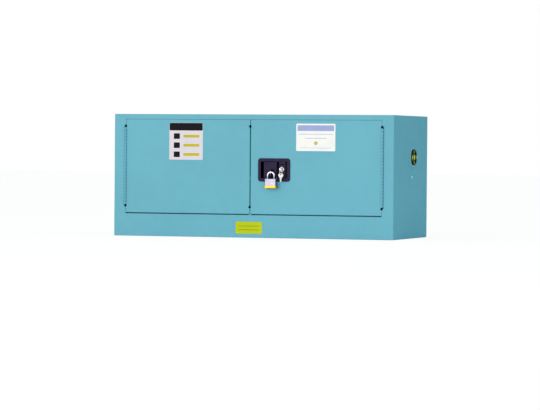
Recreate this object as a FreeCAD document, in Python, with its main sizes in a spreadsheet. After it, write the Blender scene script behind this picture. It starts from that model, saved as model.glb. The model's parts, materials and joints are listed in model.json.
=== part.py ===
import FreeCAD, Part
import math
import os
import re
import Sketcher

# Flammable safety cabinet: a low double-walled steel cabinet with two hinged
# doors, a flush paddle handle that works a three-way latch, a cylinder lock
# with two keys, a padlock, one spill shelf and two plugged vents.
#
# Frame: X to the right, Y to the back, Z up. The origin is in the middle of
# the footprint, on the surface that the cabinet stands on.

DOCUMENT = FreeCAD.newDocument("SafetyCabinet")

# Driving sizes, in millimetres, degrees and counts
SIZES = {
    # casing
    "cabinet_width": 1092,
    "cabinet_depth": 457,
    "cabinet_height": 457,
    "sheet": 1.2,
    "corner_bend": 3,
    "wall_gap": 38,
    "floor_gap": 43,
    "seam": 0.1,
    "top_rail": 18.8,
    "bottom_rail": 84,
    "post_width": 45.8,
    "frame_flange": 12,
    "back_flange": 14,
    "sill_height": 51,
    "stop_lip": 14,
    "head_lip": 2,
    "hem": 8,
    # doors
    "door_depth": 38,
    "door_bend": 0.9,
    "door_flange": 12,
    "stop_clear": 0.4,
    "post_gap": 0.8,
    "head_gap": 0.8,
    "foot_gap": 4,
    "meeting_line": -7,
    "meeting_gap": 2.2,
    "edge_relief": 1.1,
    "relief_foot": 29.5,
    "relief_head": 25.7,
    "relief_hole": 4.2,
    "land_half": 6,
    "strip_thick": 1.8,
    "strip_set": 9,
    "strip_depth": 18,
    "rest_width": 9,
    "rest_clear": 0.4,
    "rest_round": 0.8,
    # hinges
    "knuckles": 24,
    "hinge_set": 2.5,
    "hinge_proud": 1,
    "hinge_end_gap": 0.6,
    "pin_radius": 2.4,
    "pin_clear": 0.06,
    "leaf_thick": 2,
    "leaf_width": 28,
    "knuckle_gap": 0.3,
    "knuckle_side_gap": 0.5,
    "notch_margin": 1.5,
    # handle housing
    "handle_set": 92.4,
    "handle_drop": 10.5,
    "handle_width": 125,
    "handle_height": 86,
    "handle_corner": 10,
    "handle_proud": 2.5,
    "handle_edge": 1.2,
    "border_side": 11,
    "border_end": 12,
    "pocket_width": 66,
    "pocket_depth": 28,
    "housing_wall": 2,
    "housing_back": 1.6,
    "window_clear": 0.3,
    "lock_step": 5,
    "lock_pad_gap": 2,
    "lock_pad_set": 2.5,
    "lock_pad_width": 25.5,
    "lock_pad_height": 48.5,
    "pad_slot": 1,
    "stud_inset": 4.6,
    "stud_radius": 1.75,
    "stud_length": 6,
    "nut_flats": 7,
    "nut_thick": 3,
    # paddle
    "paddle_gap": 12,
    "paddle_width": 50,
    "paddle_end_gap": 2,
    "paddle_proud": 0.5,
    "paddle_thick": 3,
    "paddle_pull": 22,
    "grip_depth": 10.5,
    "pivot_inset": 1,
    "pivot_set": 6,
    "pivot_radius": 1.6,
    "pivot_boss": 3.8,
    "spring_drop": 20,
    "spring_gap": 18,
    "spring_wire": 0.6,
    "spring_clear": 0.2,
    "spring_turns": 4,
    "ball_radius": 2.2,
    "ball_neck": 1.3,
    "ball_reach": 27.5,
    "tail_width": 3.6,
    "tail_height": 12,
    # latch
    "bolt_drop": 31.5,
    "latch_arm": 24,
    "latch_turn": 26.5,
    "latch_gap": 1,
    "latch_thick": 2.5,
    "arm_half": 4.5,
    "hub_radius": 9,
    "stem_radius": 3,
    "slide_clear": 0.25,
    "link_pin": 2,
    "rod_gap": 0.5,
    "rod_thick": 3,
    "rod_half": 6,
    "bolt_half": 4.5,
    "top_reach": 9,
    "bottom_reach": 10.4,
    "bolt_reach": 16,
    "guide_clear": 0.3,
    "guide_foot": 6,
    "guide_length": 14,
    "guide_set": 17,
    "keeper_thick": 2,
    "keeper_length": 60,
    "keeper_depth": 26,
    "keeper_clear": 1,
    "strike_height": 52,
    "cover_width": 84,
    "cover_height": 90,
    "cover_lap": 7,
    "cover_screw": 1.7,
    # lock and keys
    "lock_set": 31.5,
    "lock_rise": 2,
    "bezel_radius": 9.5,
    "bezel_proud": 5,
    "barrel_radius": 8,
    "barrel_length": 25,
    "lock_nut_radius": 11,
    "lock_nut_thick": 4,
    "plug_radius": 6,
    "lock_clear": 0.05,
    "keyway_wide": 2,
    "cam_thick": 1.5,
    "cam_reach": 17,
    "key_thick": 1.6,
    "bow_radius": 8.5,
    "bow_hole": 5,
    "key_length": 24,
    "key_set": 10.8,
    "ring_radius": 7.2,
    "ring_wire": 0.7,
    "ring_turn": -30,
    "ring_clear": 0.28,
    "spare_turn": 30,
    # padlock
    "padlock_set": 7.5,
    "padlock_gap": 12.5,
    "padlock_drop": 8.5,
    "padlock_width": 42,
    "padlock_thick": 19,
    "padlock_hang": 24.5,
    "plate_pitch": 3,
    "plate_count": 8,
    "plate_groove": 0.3,
    "padlock_round": 2.5,
    "bumper_height": 10,
    "bumper_lap": 2.5,
    "shackle_rod": 3.5,
    "shackle_half": 12.5,
    "shackle_heel": 22,
    "shackle_toe": 7,
    "shackle_clear": 0.1,
    "shackle_lift": 9,
    "eye_hole": 4.5,
    "eye_rim": 3.5,
    "eye_round": 8,
    "eye_drop": 28,
    "eye_rise": 4,
    "eye_thick": 3,
    # vents and earth screw
    "vent_y": 23,
    "vent_level": 154,
    "vent_bore": 30.5,
    "vent_neck": 33.5,
    "vent_rim": 36,
    "vent_proud": 2.2,
    "vent_inner": 5.6,
    "vent_step": 2,
    "vent_plug_clear": 0.2,
    "vent_plug_proud": 6.8,
    "vent_plug_length": 15,
    "vent_plug_rim": 5,
    "vent_plug_dish": 6,
    "gasket_thick": 1.8,
    "screen_hole": 2.4,
    "screen_pitch": 8,
    "screen_sheet": 0.8,
    "earth_set": 15,
    "earth_drop": 74,
    "earth_shank": 3,
    "earth_length": 12,
    "earth_head": 1.8,
    # shelf
    "standard_inset": 103.5,
    "standard_foot": 17.8,
    "standard_head": 13.8,
    "standard_width": 22,
    "standard_depth": 6,
    "slot_foot": 30.8,
    "slot_pitch": 25,
    "slot_width": 10,
    "slot_height": 6,
    "shelf_slot": 6,
    "hook_drop": 5.8,
    "hanger_thick": 1.5,
    "hanger_width": 18,
    "hanger_ledge": 16,
    "shelf_clear": 0.8,
    "shelf_front_gap": 23.9,
    "shelf_back_gap": 9.3,
    "shelf_lip": 7,
    "shelf_flange": 24,
    "shelf_return": 12,
}

# Places that follow from the driving sizes
PLACES = {
    "half_width": "cabinet_width / 2",
    "half_depth": "cabinet_depth / 2",
    "front": "-half_depth",
    "skin_inside": "front + sheet",
    "opening_half": "half_width - post_width",
    "opening_top": "cabinet_height - top_rail",
    "opening_low": "bottom_rail",
    "door_edge": "opening_half - post_gap",
    "door_top": "opening_top - head_gap",
    "door_low": "opening_low + foot_gap",
    "door_back": "front + door_depth",
    "left_meeting": "meeting_line - meeting_gap / 2",
    "right_meeting": "meeting_line + meeting_gap / 2",
    "relief_low": "opening_low + relief_foot",
    "relief_high": "opening_top - relief_head",
    "handle_x": "right_meeting + handle_set",
    "handle_z": "(door_low + door_top) / 2 - handle_drop",
    "bolt_z": "handle_z - bolt_drop",
    "lock_x": "handle_x + lock_set",
    "lock_z": "handle_z + lock_rise",
    "hinge_x": "door_edge + hinge_set",
    "hinge_y": "front - hinge_proud",
    "knuckle_radius": "pin_radius + pin_clear + leaf_thick",
    "hinge_low": "relief_low + relief_hole + hinge_end_gap",
    "hinge_high": "relief_high - relief_hole - hinge_end_gap",
    "jamb_x": "hinge_x + knuckle_radius",
    "hinge_face": "hinge_x - knuckle_radius",
    "notch_x": "jamb_x + notch_margin",
    "relief_x": "hinge_x - 1",
    "stop_front": "door_back + stop_clear",
    "stop_back": "stop_front + sheet",
    "liner_half": "half_width - sheet - wall_gap",
    "liner_low": "sheet + floor_gap",
    "liner_top": "cabinet_height - sheet - wall_gap",
    "liner_back": "half_depth - sheet - wall_gap",
    "sill_top": "liner_low + sheet + sill_height",
    "window_half": "liner_half - sheet - stop_lip",
    "window_top": "liner_top - sheet - head_lip",
    "pan_front": "door_back - sheet",
    "bolt_low": "bolt_z - land_half",
    "bolt_high": "bolt_z + land_half",
    "strip_x": "left_meeting - edge_relief",
    "strip_front": "front + strip_set",
    # handle
    "plate_left": "handle_x - handle_width / 2",
    "plate_right": "handle_x + handle_width / 2",
    "plate_low": "handle_z - handle_height / 2",
    "plate_top": "handle_z + handle_height / 2",
    "plate_front": "front - handle_proud",
    "pocket_left": "plate_left + border_side",
    "pocket_right": "pocket_left + pocket_width",
    "pocket_low": "plate_low + border_end",
    "pocket_top": "plate_top - border_end",
    "pocket_floor": "plate_front + pocket_depth",
    "tub_left": "pocket_left - housing_wall",
    "tub_right": "pocket_right + housing_wall",
    "tub_low": "pocket_low - housing_wall",
    "tub_top": "pocket_top + housing_wall",
    "tub_back": "pocket_floor + housing_back",
    "panel_right": "plate_right - border_side",
    "backing_right": "panel_right + housing_wall",
    "panel_floor": "plate_front + lock_step",
    "backing_back": "panel_floor + housing_wall",
    "lock_pad_left": "tub_right + lock_pad_set",
    "lock_pad_right": "lock_pad_left + lock_pad_width",
    "lock_pad_low": "pocket_low + lock_pad_gap / 2",
    "lock_pad_top": "lock_pad_low + lock_pad_height",
    "paddle_left": "pocket_left + paddle_gap",
    "paddle_right": "paddle_left + paddle_width",
    "paddle_low": "pocket_low + paddle_end_gap",
    "paddle_top": "pocket_top - paddle_end_gap",
    "paddle_front": "plate_front - paddle_proud",
    "paddle_back": "paddle_front + paddle_thick",
    "spring_low": "handle_z - spring_drop",
    "pivot_x": "paddle_right - pivot_inset",
    "pivot_y": "paddle_front + pivot_set",
    # latch
    "half_turn": "latch_turn / 2",
    "ball_arm": "ball_reach * sin(paddle_pull) / (2 * sin(half_turn))",
    "ball_y": "pivot_y + ball_reach",
    "arm_across": "latch_arm * cos(half_turn)",
    "arm_rise": "latch_arm * sin(half_turn)",
    "rotor_x": "pivot_x - ball_arm * sin(half_turn)",
    "rotor_z": "bolt_z + arm_across",
    "ball_z": "rotor_z + ball_arm * (1 + cos(half_turn)) / 2",
    "rotor_front": "tub_back + latch_gap",
    "rotor_back": "rotor_front + latch_thick",
    "rod_front": "rotor_back + rod_gap",
    "rod_back": "rod_front + rod_thick",
    "top_rod_x": "rotor_x - arm_across",
    "top_rod_z": "rotor_z + arm_rise",
    "bottom_rod_x": "rotor_x + arm_across",
    "bottom_rod_z": "rotor_z - arm_rise",
    "bolt_pin_x": "rotor_x - arm_rise",
    "link_back": "rod_back + rod_gap",
    "pin_hole": "link_pin + slide_clear",
    "top_tip": "door_top + top_reach",
    "bottom_tip": "door_low - bottom_reach",
    "bolt_tip": "-bolt_reach",
    # lock
    "lock_pad_front": "plate_front + 0.2",
    "bezel_front": "lock_pad_front - bezel_proud",
    "barrel_back": "lock_pad_front + barrel_length",
    "key_y": "bezel_front - key_set",
    "ring_inner": "ring_radius - ring_wire",
    "ring_z": "lock_z - bow_hole + ring_clear - ring_inner",
    "spare_z": "ring_z - ring_inner + ring_clear - bow_hole",
    # padlock
    "padlock_x": "handle_x - padlock_set",
    "padlock_y": "plate_front - padlock_gap",
    "padlock_crown": "handle_z - padlock_drop",
    "padlock_top": "padlock_crown - padlock_hang",
    "eye_low": "handle_z - eye_drop",
    "eye_high": "handle_z + eye_rise",
    "arch_z": "padlock_crown - shackle_half",
    "case_low": "padlock_top - plate_pitch * plate_count",
    "bumper_low": "case_low - bumper_height",
    "eye_z": "padlock_crown - shackle_rod - seam + eye_hole",
    # vents
    "left_vent_z": "vent_level",
    "right_vent_z": "cabinet_height - vent_level",
    "earth_y": "vent_y - earth_set",
    "earth_z": "right_vent_z - earth_drop",
    "vent_face": "half_width + vent_proud",
    "plug_face": "vent_face + vent_plug_proud",
    "plug_end": "plug_face - vent_plug_length",
    "step_face": "plug_end - gasket_thick",
    "neck_end": "liner_half - sheet - vent_inner",
    # shelf
    "standard_y": "half_depth - standard_inset",
    "standard_low": "liner_low + standard_foot",
    "standard_high": "liner_top - standard_head",
    "slot_base": "liner_low + slot_foot",
    "shelf_front": "stop_back + shelf_front_gap",
    "shelf_back": "liner_back - shelf_back_gap",
    "liner_side": "liner_half - sheet",
    "standard_face": "liner_side - standard_depth",
    "ledge_top": "slot_base + slot_pitch * shelf_slot + hook_drop",
    "shelf_top": "ledge_top + sheet",
    "shelf_half": "standard_face - hanger_thick - shelf_clear",
}

SHEET_OF = {}


def fill_sheet(name, rows):
    """Put each named value in a row of its own of a new sheet, with its name as alias."""
    sheet = DOCUMENT.addObject("Spreadsheet::Sheet", name)
    for row, (alias, content) in enumerate(rows.items(), start=1):
        sheet.set(f"A{row}", alias)
        sheet.set(f"B{row}", content if isinstance(content, str) else str(content))
        sheet.setAlias(f"B{row}", alias)
        SHEET_OF[alias] = name
    return sheet


def formula(text):
    """The expression with each named value's sheet before its name."""
    def with_sheet(match):
        word = match.group(0)
        return f"{SHEET_OF[word]}.{word}" if word in SHEET_OF else word
    return re.sub(r"[a-z][a-z_0-9]*", with_sheet, str(text))


def number(text):
    """The expression's value now."""
    return float(SIZE_SHEET.evalExpression(formula(text)))


for place_name in list(SIZES) + list(PLACES):
    SHEET_OF[place_name] = "Sizes" if place_name in SIZES else "Places"
SIZE_SHEET = fill_sheet("Sizes", SIZES)
PLACE_SHEET = fill_sheet("Places", {key: "=" + formula(text) for key, text in PLACES.items()})
DOCUMENT.recompute()

PIECES = []


# Bodies, sketches and their features

class Poly:
    """A closed outline through corners, each a pair of expressions."""

    def __init__(self, *corners):
        self.corners = corners

    def draw(self, drawing):
        """Draw the outline and tie each corner to its expressions."""
        points = [FreeCAD.Vector(number(x), number(y), 0) for x, y in self.corners]
        first, count = len(drawing.lines), len(points)
        for i in range(count):
            drawing.lines.append(Part.LineSegment(points[i], points[(i + 1) % count]))
            following = first + (i + 1) % count
            drawing.rules.append(Sketcher.Constraint("Coincident", first + i, 2, following, 1))
        for i, (x, y) in enumerate(self.corners):
            drawing.tie(first + i, 1, x, y)


class Rect(Poly):
    """A rectangle between two opposite corners."""

    def __init__(self, left, low, right, high):
        super().__init__((left, low), (right, low), (right, high), (left, high))


class Disc:
    """A circle about a centre."""

    def __init__(self, x, y, radius):
        self.x, self.y, self.radius = x, y, radius

    def draw(self, drawing):
        """Draw the circle and tie its centre and radius to their expressions."""
        centre = FreeCAD.Vector(number(self.x), number(self.y), 0)
        radius = number(self.radius)
        index = len(drawing.lines)
        drawing.lines.append(Part.Circle(centre, FreeCAD.Vector(0, 0, 1), radius))
        drawing.tie(index, 3, self.x, self.y)
        drawing.bind(Sketcher.Constraint("Radius", index, radius), self.radius)


class Axis:
    """A line from one point to another."""

    def __init__(self, start, end):
        self.ends = start, end

    def draw(self, drawing):
        """Draw the line and tie its ends to their expressions."""
        start, end = (FreeCAD.Vector(number(x), number(y), 0) for x, y in self.ends)
        index = len(drawing.lines)
        drawing.lines.append(Part.LineSegment(start, end))
        for vertex, (x, y) in enumerate(self.ends, start=1):
            drawing.tie(index, vertex, x, y)


class Bow:
    """Two upright legs joined by half a circle, open at the bottom."""

    def __init__(self, centre, half, heel, toe):
        self.centre, self.half, self.heel, self.toe = centre, half, heel, toe

    def draw(self, drawing):
        """Draw the legs and the bend and tie them to their expressions."""
        x, y = self.centre
        left, right = f"{x} - {self.half}", f"{x} + {self.half}"
        centre, up = FreeCAD.Vector(number(x), number(y), 0), FreeCAD.Vector(0, 0, 1)
        corners = [FreeCAD.Vector(number(a), number(b), 0) for a, b in (
            (left, self.heel), (left, y), (right, y), (right, self.toe))]
        bend = Part.ArcOfCircle(Part.Circle(centre, up, number(self.half)), 0, math.pi)
        drawing.lines += [Part.LineSegment(*corners[:2]), bend, Part.LineSegment(*corners[2:])]
        drawing.rules.append(Sketcher.Constraint("Coincident", 0, 2, 1, 2))
        drawing.rules.append(Sketcher.Constraint("Coincident", 2, 1, 1, 1))
        drawing.tie(0, 1, left, self.heel)
        drawing.tie(1, 3, x, y)
        drawing.tie(1, 2, left, y)
        drawing.tie(1, 1, y=y)
        drawing.tie(2, 2, right, self.toe)


class Drawing:
    """The lines of one sketch with the rules and expressions that hold them."""

    def __init__(self):
        self.lines, self.rules, self.bindings = [], [], []

    def bind(self, rule, text):
        """Add a rule whose size is an expression."""
        self.bindings.append((len(self.rules), text))
        self.rules.append(rule)

    def tie(self, line, vertex, x=None, y=None):
        """Tie a point of a line to the expressions of its place."""
        for kind, text in (("DistanceX", x), ("DistanceY", y)):
            if text is not None:
                self.bind(Sketcher.Constraint(kind, -1, 1, line, vertex, number(text)), text)

    def place(self, sketch):
        """Put all of it into the sketch."""
        sketch.addGeometry(self.lines, False)
        sketch.addConstraint(self.rules)
        for index, text in self.bindings:
            sketch.setExpression(f"Constraints[{index}]", formula(text))


# Each drawing plane: its origin plane, and which way its normal points along its row axis
LEVEL, FRONT, SIDE = ("XY_Plane", 1), ("XZ_Plane", -1), ("YZ_Plane", 1)


def new_piece(name):
    """A body for one piece, whose label names its file."""
    body = DOCUMENT.addObject("PartDesign::Body", name)
    body.Label = name
    PIECES.append(body)
    return body


def draw_on(body, plane, at, figures):
    """A sketch of the figures on a plane of the body, at a place along its row axis."""
    drawing = Drawing()
    for figure in figures:
        figure.draw(drawing)
    role, sense = plane
    sketch = body.newObject("Sketcher::SketchObject", body.Name + "_sketch")
    origin_plane = next(f for f in body.Origin.OriginFeatures if f.Role == role)
    sketch.AttachmentSupport = [(origin_plane, "")]
    sketch.MapMode = "FlatFace"
    sketch.setExpression("AttachmentOffset.Base.z", formula(f"{sense} * ({at})"))
    drawing.place(sketch)
    return sketch


def extrude(body, kind, plane, low, high, figures):
    """Add or cut the figures' area from low to high along the plane's row axis."""
    sketch = draw_on(body, plane, low, figures)
    feature = body.newObject(kind, body.Name + "_feature")
    feature.Profile = sketch
    feature.setExpression("Length", formula(f"({high}) - ({low})"))
    feature.Reversed = (plane[1] > 0) != (kind == "PartDesign::Pad")
    body.Tip = feature
    return feature


def add(body, plane, low, high, *figures):
    """Add material."""
    return extrude(body, "PartDesign::Pad", plane, low, high, figures)


def cut(body, plane, low, high, *figures):
    """Cut material away."""
    return extrude(body, "PartDesign::Pocket", plane, low, high, figures)


def revolve(body, plane, at, axis, figure, kind="PartDesign::Revolution"):
    """Turn a figure round a line of its sketch, given as two points."""
    sketch = draw_on(body, plane, at, [figure, Axis(*axis)])
    sketch.setConstruction(sketch.GeometryCount - 1, True)
    feature = body.newObject(kind, body.Name + "_turned")
    feature.Profile = sketch
    feature.ReferenceAxis = (sketch, ["Axis0"])
    feature.Angle = 360
    body.Tip = feature
    return feature


def edges_where(shape, test):
    """Names of the shape's edges whose bounding box passes the test."""
    return [f"Edge{index}" for index, edge in enumerate(shape.Edges, start=1)
            if test(edge.BoundBox)]


def soften(body, kind, size, test):
    """Round or chamfer the edges of the body that pass the test."""
    DOCUMENT.recompute()
    base = body.Tip
    feature = body.newObject(kind, body.Name + "_edge")
    feature.Base = (base, edges_where(base.Shape, test))
    feature.setExpression("Radius" if kind == "PartDesign::Fillet" else "Size", formula(size))
    body.Tip = feature
    return feature


def fillet(body, size, test):
    """Round edges."""
    return soften(body, "PartDesign::Fillet", size, test)


def chamfer(body, size, test):
    """Chamfer edges."""
    return soften(body, "PartDesign::Chamfer", size, test)


def before(plane_y):
    """A test for edges that lie wholly on or before a place along Y."""
    limit = number(plane_y) + 0.05
    return lambda box: box.YMax < limit


def behind(plane_y):
    """A test for edges that lie wholly on or behind a place along Y."""
    limit = number(plane_y) - 0.05
    return lambda box: box.YMin > limit


# Casing

def mirrored(side, text):
    """An expression on the right side, or its mirror on the left side."""
    return f"{side} * ({text})"


def opening_outline():
    """The door opening with a notch for each hinge."""
    corners = []
    for side in (1, -1):
        edge = mirrored(side, "opening_half")
        notch = mirrored(side, "notch_x")
        column = [(edge, "opening_low"), (edge, "relief_low"), (notch, "relief_low"),
                  (notch, "relief_high"), (edge, "relief_high"), (edge, "opening_top")]
        corners += column if side > 0 else column[::-1]
    return Poly(*corners)


def relief_holes():
    """Round ends of the hinge notches, half in the post and half in the door."""
    return [Disc(mirrored(side, "relief_x"), level, "relief_hole")
            for side in (1, -1) for level in ("relief_low", "relief_high")]


def make_outer_shell():
    """Wrapper of bent sheet, open at the back, with the door opening in its front."""
    shell = new_piece("outer_shell")
    add(shell, FRONT, "front", "half_depth", Rect("-half_width", "0", "half_width", "cabinet_height"))
    back, half, top = number("half_depth - 1"), number("half_width"), number("cabinet_height")
    inner = Rect("-half_width + sheet", "sheet", "half_width - sheet", "cabinet_height - sheet")
    cut(shell, FRONT, "skin_inside", "half_depth", inner)

    def hollow(box):
        """Whether an edge belongs to the hollow."""
        return (number("front") + 0.5 < box.YMin < back and box.XMax < half - 0.5
                and box.XMin > 0.5 - half and 0.5 < box.ZMin and box.ZMax < top - 0.5)

    def outside(box):
        """Whether an edge belongs to the outside and not to the open back."""
        return box.YMin < back and (
            box.YMax < number("front") + 0.5 or box.XMin > half - 0.5 or box.XMax < 0.5 - half)

    fillet(shell, "corner_bend - sheet", hollow)
    fillet(shell, "corner_bend", outside)
    cut(shell, FRONT, "front", "skin_inside + corner_bend", opening_outline())
    cut(shell, FRONT, "front", "skin_inside + corner_bend", *relief_holes())
    vent = Disc("vent_y", "right_vent_z", "vent_neck + seam")
    cut(shell, SIDE, "half_width - 2 * sheet", "half_width", vent)
    vent = Disc("vent_y", "left_vent_z", "vent_neck + seam")
    cut(shell, SIDE, "-half_width", "-half_width + 2 * sheet", vent)
    earth = Disc("earth_y", "earth_z", "earth_shank + seam")
    cut(shell, SIDE, "half_width - 2 * sheet", "half_width", earth)


def make_back_panel():
    """Flanged tray that closes the back."""
    panel = new_piece("back_panel")
    edge = "(sheet + seam)"
    outer = Rect(f"-half_width + {edge}", edge, f"half_width - {edge}", f"cabinet_height - {edge}")
    add(panel, FRONT, "half_depth - back_flange", "half_depth", outer)
    fillet(panel, "corner_bend - sheet", lambda box: box.YLength > 1)
    edge = "(2 * sheet + seam)"
    inner = Rect(f"-half_width + {edge}", edge, f"half_width - {edge}", f"cabinet_height - {edge}")
    cut(panel, FRONT, "half_depth - back_flange", "half_depth - sheet", inner)


def make_door_frame():
    """Ring behind the front: flange, jambs, door stop, sill and hem, bent and welded."""
    frame = new_piece("door_frame")
    jamb = Rect("-jamb_x", "opening_low", "jamb_x", "opening_top")
    jamb_outside = Rect("-jamb_x - sheet", "opening_low - sheet", "jamb_x + sheet", "opening_top + sheet")
    flange = Rect("-jamb_x - frame_flange", "opening_low - frame_flange",
                  "jamb_x + frame_flange", "opening_top + frame_flange")
    add(frame, FRONT, "skin_inside", "skin_inside + sheet", flange, jamb)
    add(frame, FRONT, "skin_inside", "stop_front", jamb_outside, jamb)
    window = Rect("-window_half", "sill_top", "window_half", "window_top")
    window_outside = Rect("-window_half - sheet", "sill_top - sheet",
                          "window_half + sheet", "window_top + sheet")
    stop = Rect("-jamb_x - sheet", "liner_low", "jamb_x + sheet", "opening_top + sheet")
    add(frame, FRONT, "stop_front", "stop_back", stop, window)
    add(frame, FRONT, "stop_back", "stop_back + hem", window_outside, window)
    for rod_x, low, high in (("top_rod_x", "opening_top - sheet", "opening_top + 2 * sheet"),
                             ("bottom_rod_x", "opening_low - 2 * sheet", "opening_low + sheet")):
        cut(frame, LEVEL, low, high, rod_slot(rod_x, "keeper_clear"))


def rod_slot(rod_x, clearance):
    """The hole that a latch rod passes, with a clearance all round."""
    return Rect(f"{rod_x} - rod_half - {clearance}", f"rod_front - {clearance}",
                f"{rod_x} + rod_half + {clearance}", f"rod_back + {clearance}")


def make_keepers():
    """Thick plates behind the jambs that the rods' noses enter."""
    for name, rod_x, low, high in (
            ("keeper_top", "top_rod_x", "opening_top + sheet", "opening_top + sheet + keeper_thick"),
            ("keeper_bottom", "bottom_rod_x", "opening_low - sheet - keeper_thick", "opening_low - sheet")):
        keeper = new_piece(name)
        plate = Rect(f"{rod_x} - keeper_length / 2", "stop_front - keeper_depth",
                     f"{rod_x} + keeper_length / 2", "stop_front")
        add(keeper, LEVEL, low, high, plate, rod_slot(rod_x, "keeper_clear"))


def make_inner_liner():
    """Inner box, open at the front, whose edge meets the back of the door stop."""
    liner = new_piece("inner_liner")
    add(liner, FRONT, "stop_back", "liner_back", Rect("-liner_half", "liner_low", "liner_half", "liner_top"))
    inner = Rect("-liner_half + sheet", "liner_low + sheet", "liner_half - sheet", "liner_top - sheet")
    cut(liner, FRONT, "stop_back", "liner_back - sheet", inner)
    half, rear = number("liner_half - 0.5"), number("liner_back - 0.5")
    low, top, mouth = number("liner_low + 0.5"), number("liner_top - 0.5"), number("stop_back + 1")

    def hollow(box):
        """Whether an edge belongs to the hollow and not to its open mouth."""
        return (mouth < box.YMax < rear and box.XMax < half and box.XMin > -half
                and low < box.ZMin and box.ZMax < top)

    def outside(box):
        """Whether an edge belongs to the outside and not to the open mouth."""
        return box.YMax > mouth and (box.YMin > rear or box.XMin > half or box.XMax < -half)

    fillet(liner, "corner_bend - sheet", hollow)
    fillet(liner, "corner_bend", outside)
    vent = Disc("vent_y", "right_vent_z", "vent_neck + seam")
    cut(liner, SIDE, "liner_half - 2 * sheet", "liner_half", vent)
    vent = Disc("vent_y", "left_vent_z", "vent_neck + seam")
    cut(liner, SIDE, "-liner_half", "-liner_half + 2 * sheet", vent)


def make_door_rest():
    """Pad on the sill of the opening that carries the doors' free corners."""
    rest = new_piece("door_rest")
    foot = Rect("meeting_line - rest_width / 2", "front",
                "meeting_line + rest_width / 2", "stop_front")
    add(rest, LEVEL, "opening_low", "door_low - rest_clear", foot)
    top = number("door_low - rest_clear - 0.05")
    fillet(rest, "rest_round", lambda box: box.ZMin > top)


# Hinges

def leaf_segments(first):
    """Heights of every second knuckle, starting with the given one."""
    count = int(SIZES["knuckles"])
    pitch = "(hinge_high - hinge_low)"
    return [(f"hinge_low + {pitch} * {i} / {count}", f"hinge_low + {pitch} * {i + 1} / {count}")
            for i in range(first, count, 2)]


def make_hinge_leaf(name, side, on_frame):
    """One leaf of a continuous hinge: flat leaf, tangent barrel, gaps for the other's knuckles."""
    leaf = new_piece(name)
    outer = 1 if on_frame else -1
    near = f"hinge_x + {outer} * (knuckle_radius - leaf_thick)"
    far = f"hinge_x + {outer} * knuckle_radius"
    low, high = sorted((mirrored(side, near), mirrored(side, far)), key=number)
    add(leaf, SIDE, low, high, Rect("hinge_y", "hinge_low", "hinge_y + leaf_width", "hinge_high"))
    add(leaf, LEVEL, "hinge_low", "hinge_high", Disc(mirrored(side, "hinge_x"), "hinge_y", "knuckle_radius"))
    bore = "pin_radius" if on_frame else "pin_radius + pin_clear"
    cut(leaf, LEVEL, "hinge_low", "hinge_high", Disc(mirrored(side, "hinge_x"), "hinge_y", bore))
    reach = "(knuckle_radius + knuckle_side_gap)"
    left = mirrored(side, "hinge_x") + f" - {reach}"
    right = mirrored(side, "hinge_x") + f" + {reach}"
    gaps = [Rect(left, f"{start} - knuckle_gap / 2", right, f"{end} + knuckle_gap / 2")
            for start, end in leaf_segments(1 if on_frame else 0)]
    cut(leaf, FRONT, f"hinge_y - {reach}", f"hinge_y + {reach}", *gaps)


def make_hinges():
    """Both continuous hinges, each with two leaves and a pin."""
    for label, side in (("left", -1), ("right", 1)):
        make_hinge_leaf(f"{label}_hinge_frame_leaf", side, True)
        make_hinge_leaf(f"{label}_hinge_door_leaf", side, False)
        pin = new_piece(f"{label}_hinge_pin")
        add(pin, LEVEL, "hinge_low", "hinge_high", Disc(mirrored(side, "hinge_x"), "hinge_y", "pin_radius"))


# Doors

def door_outline(side, inset):
    """Outline of a door from the front, drawn in by an inset."""
    meet = "right_meeting" if side > 0 else "left_meeting"
    edge = mirrored(side, f"door_edge - ({inset})")
    hinge = mirrored(side, f"hinge_face - ({inset})")
    free = f"{meet} + {side} * ({inset})"
    relieved = f"{meet} + {side} * (edge_relief + {inset})"
    low, high = f"relief_low - ({inset})", f"relief_high + {inset}"
    bolt_low, bolt_high = f"bolt_low + {inset}", f"bolt_high - ({inset})"
    return Poly(
        (free, f"door_low + {inset}"), (edge, f"door_low + {inset}"),
        (edge, low), (hinge, low), (hinge, high), (edge, high),
        (edge, f"door_top - ({inset})"), (free, f"door_top - ({inset})"),
        (free, high), (relieved, high), (relieved, bolt_high), (free, bolt_high),
        (free, bolt_low), (relieved, bolt_low), (relieved, low), (free, low))


def make_door_skin(name, side):
    """Outer pan of a door: front sheet and four returns."""
    skin = new_piece(name)
    add(skin, FRONT, "front", "door_back", door_outline(side, "0"))
    cut(skin, FRONT, "skin_inside", "door_back", door_outline(side, "sheet"))
    fillet(skin, "door_bend", before("front"))
    cut(skin, FRONT, "front", "skin_inside + leaf_thick", *[
        hole for hole in relief_holes() if hole.x.startswith(f"{side} ")])
    return skin


def make_door_liner(name, side):
    """Inner pan of a door, set into the outer pan, flanges forward."""
    liner = new_piece(name)
    add(liner, FRONT, "pan_front - door_flange", "door_back", door_outline(side, "sheet + seam"))
    cut(liner, FRONT, "pan_front - door_flange", "pan_front", door_outline(side, "2 * sheet + seam"))
    return liner


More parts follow.
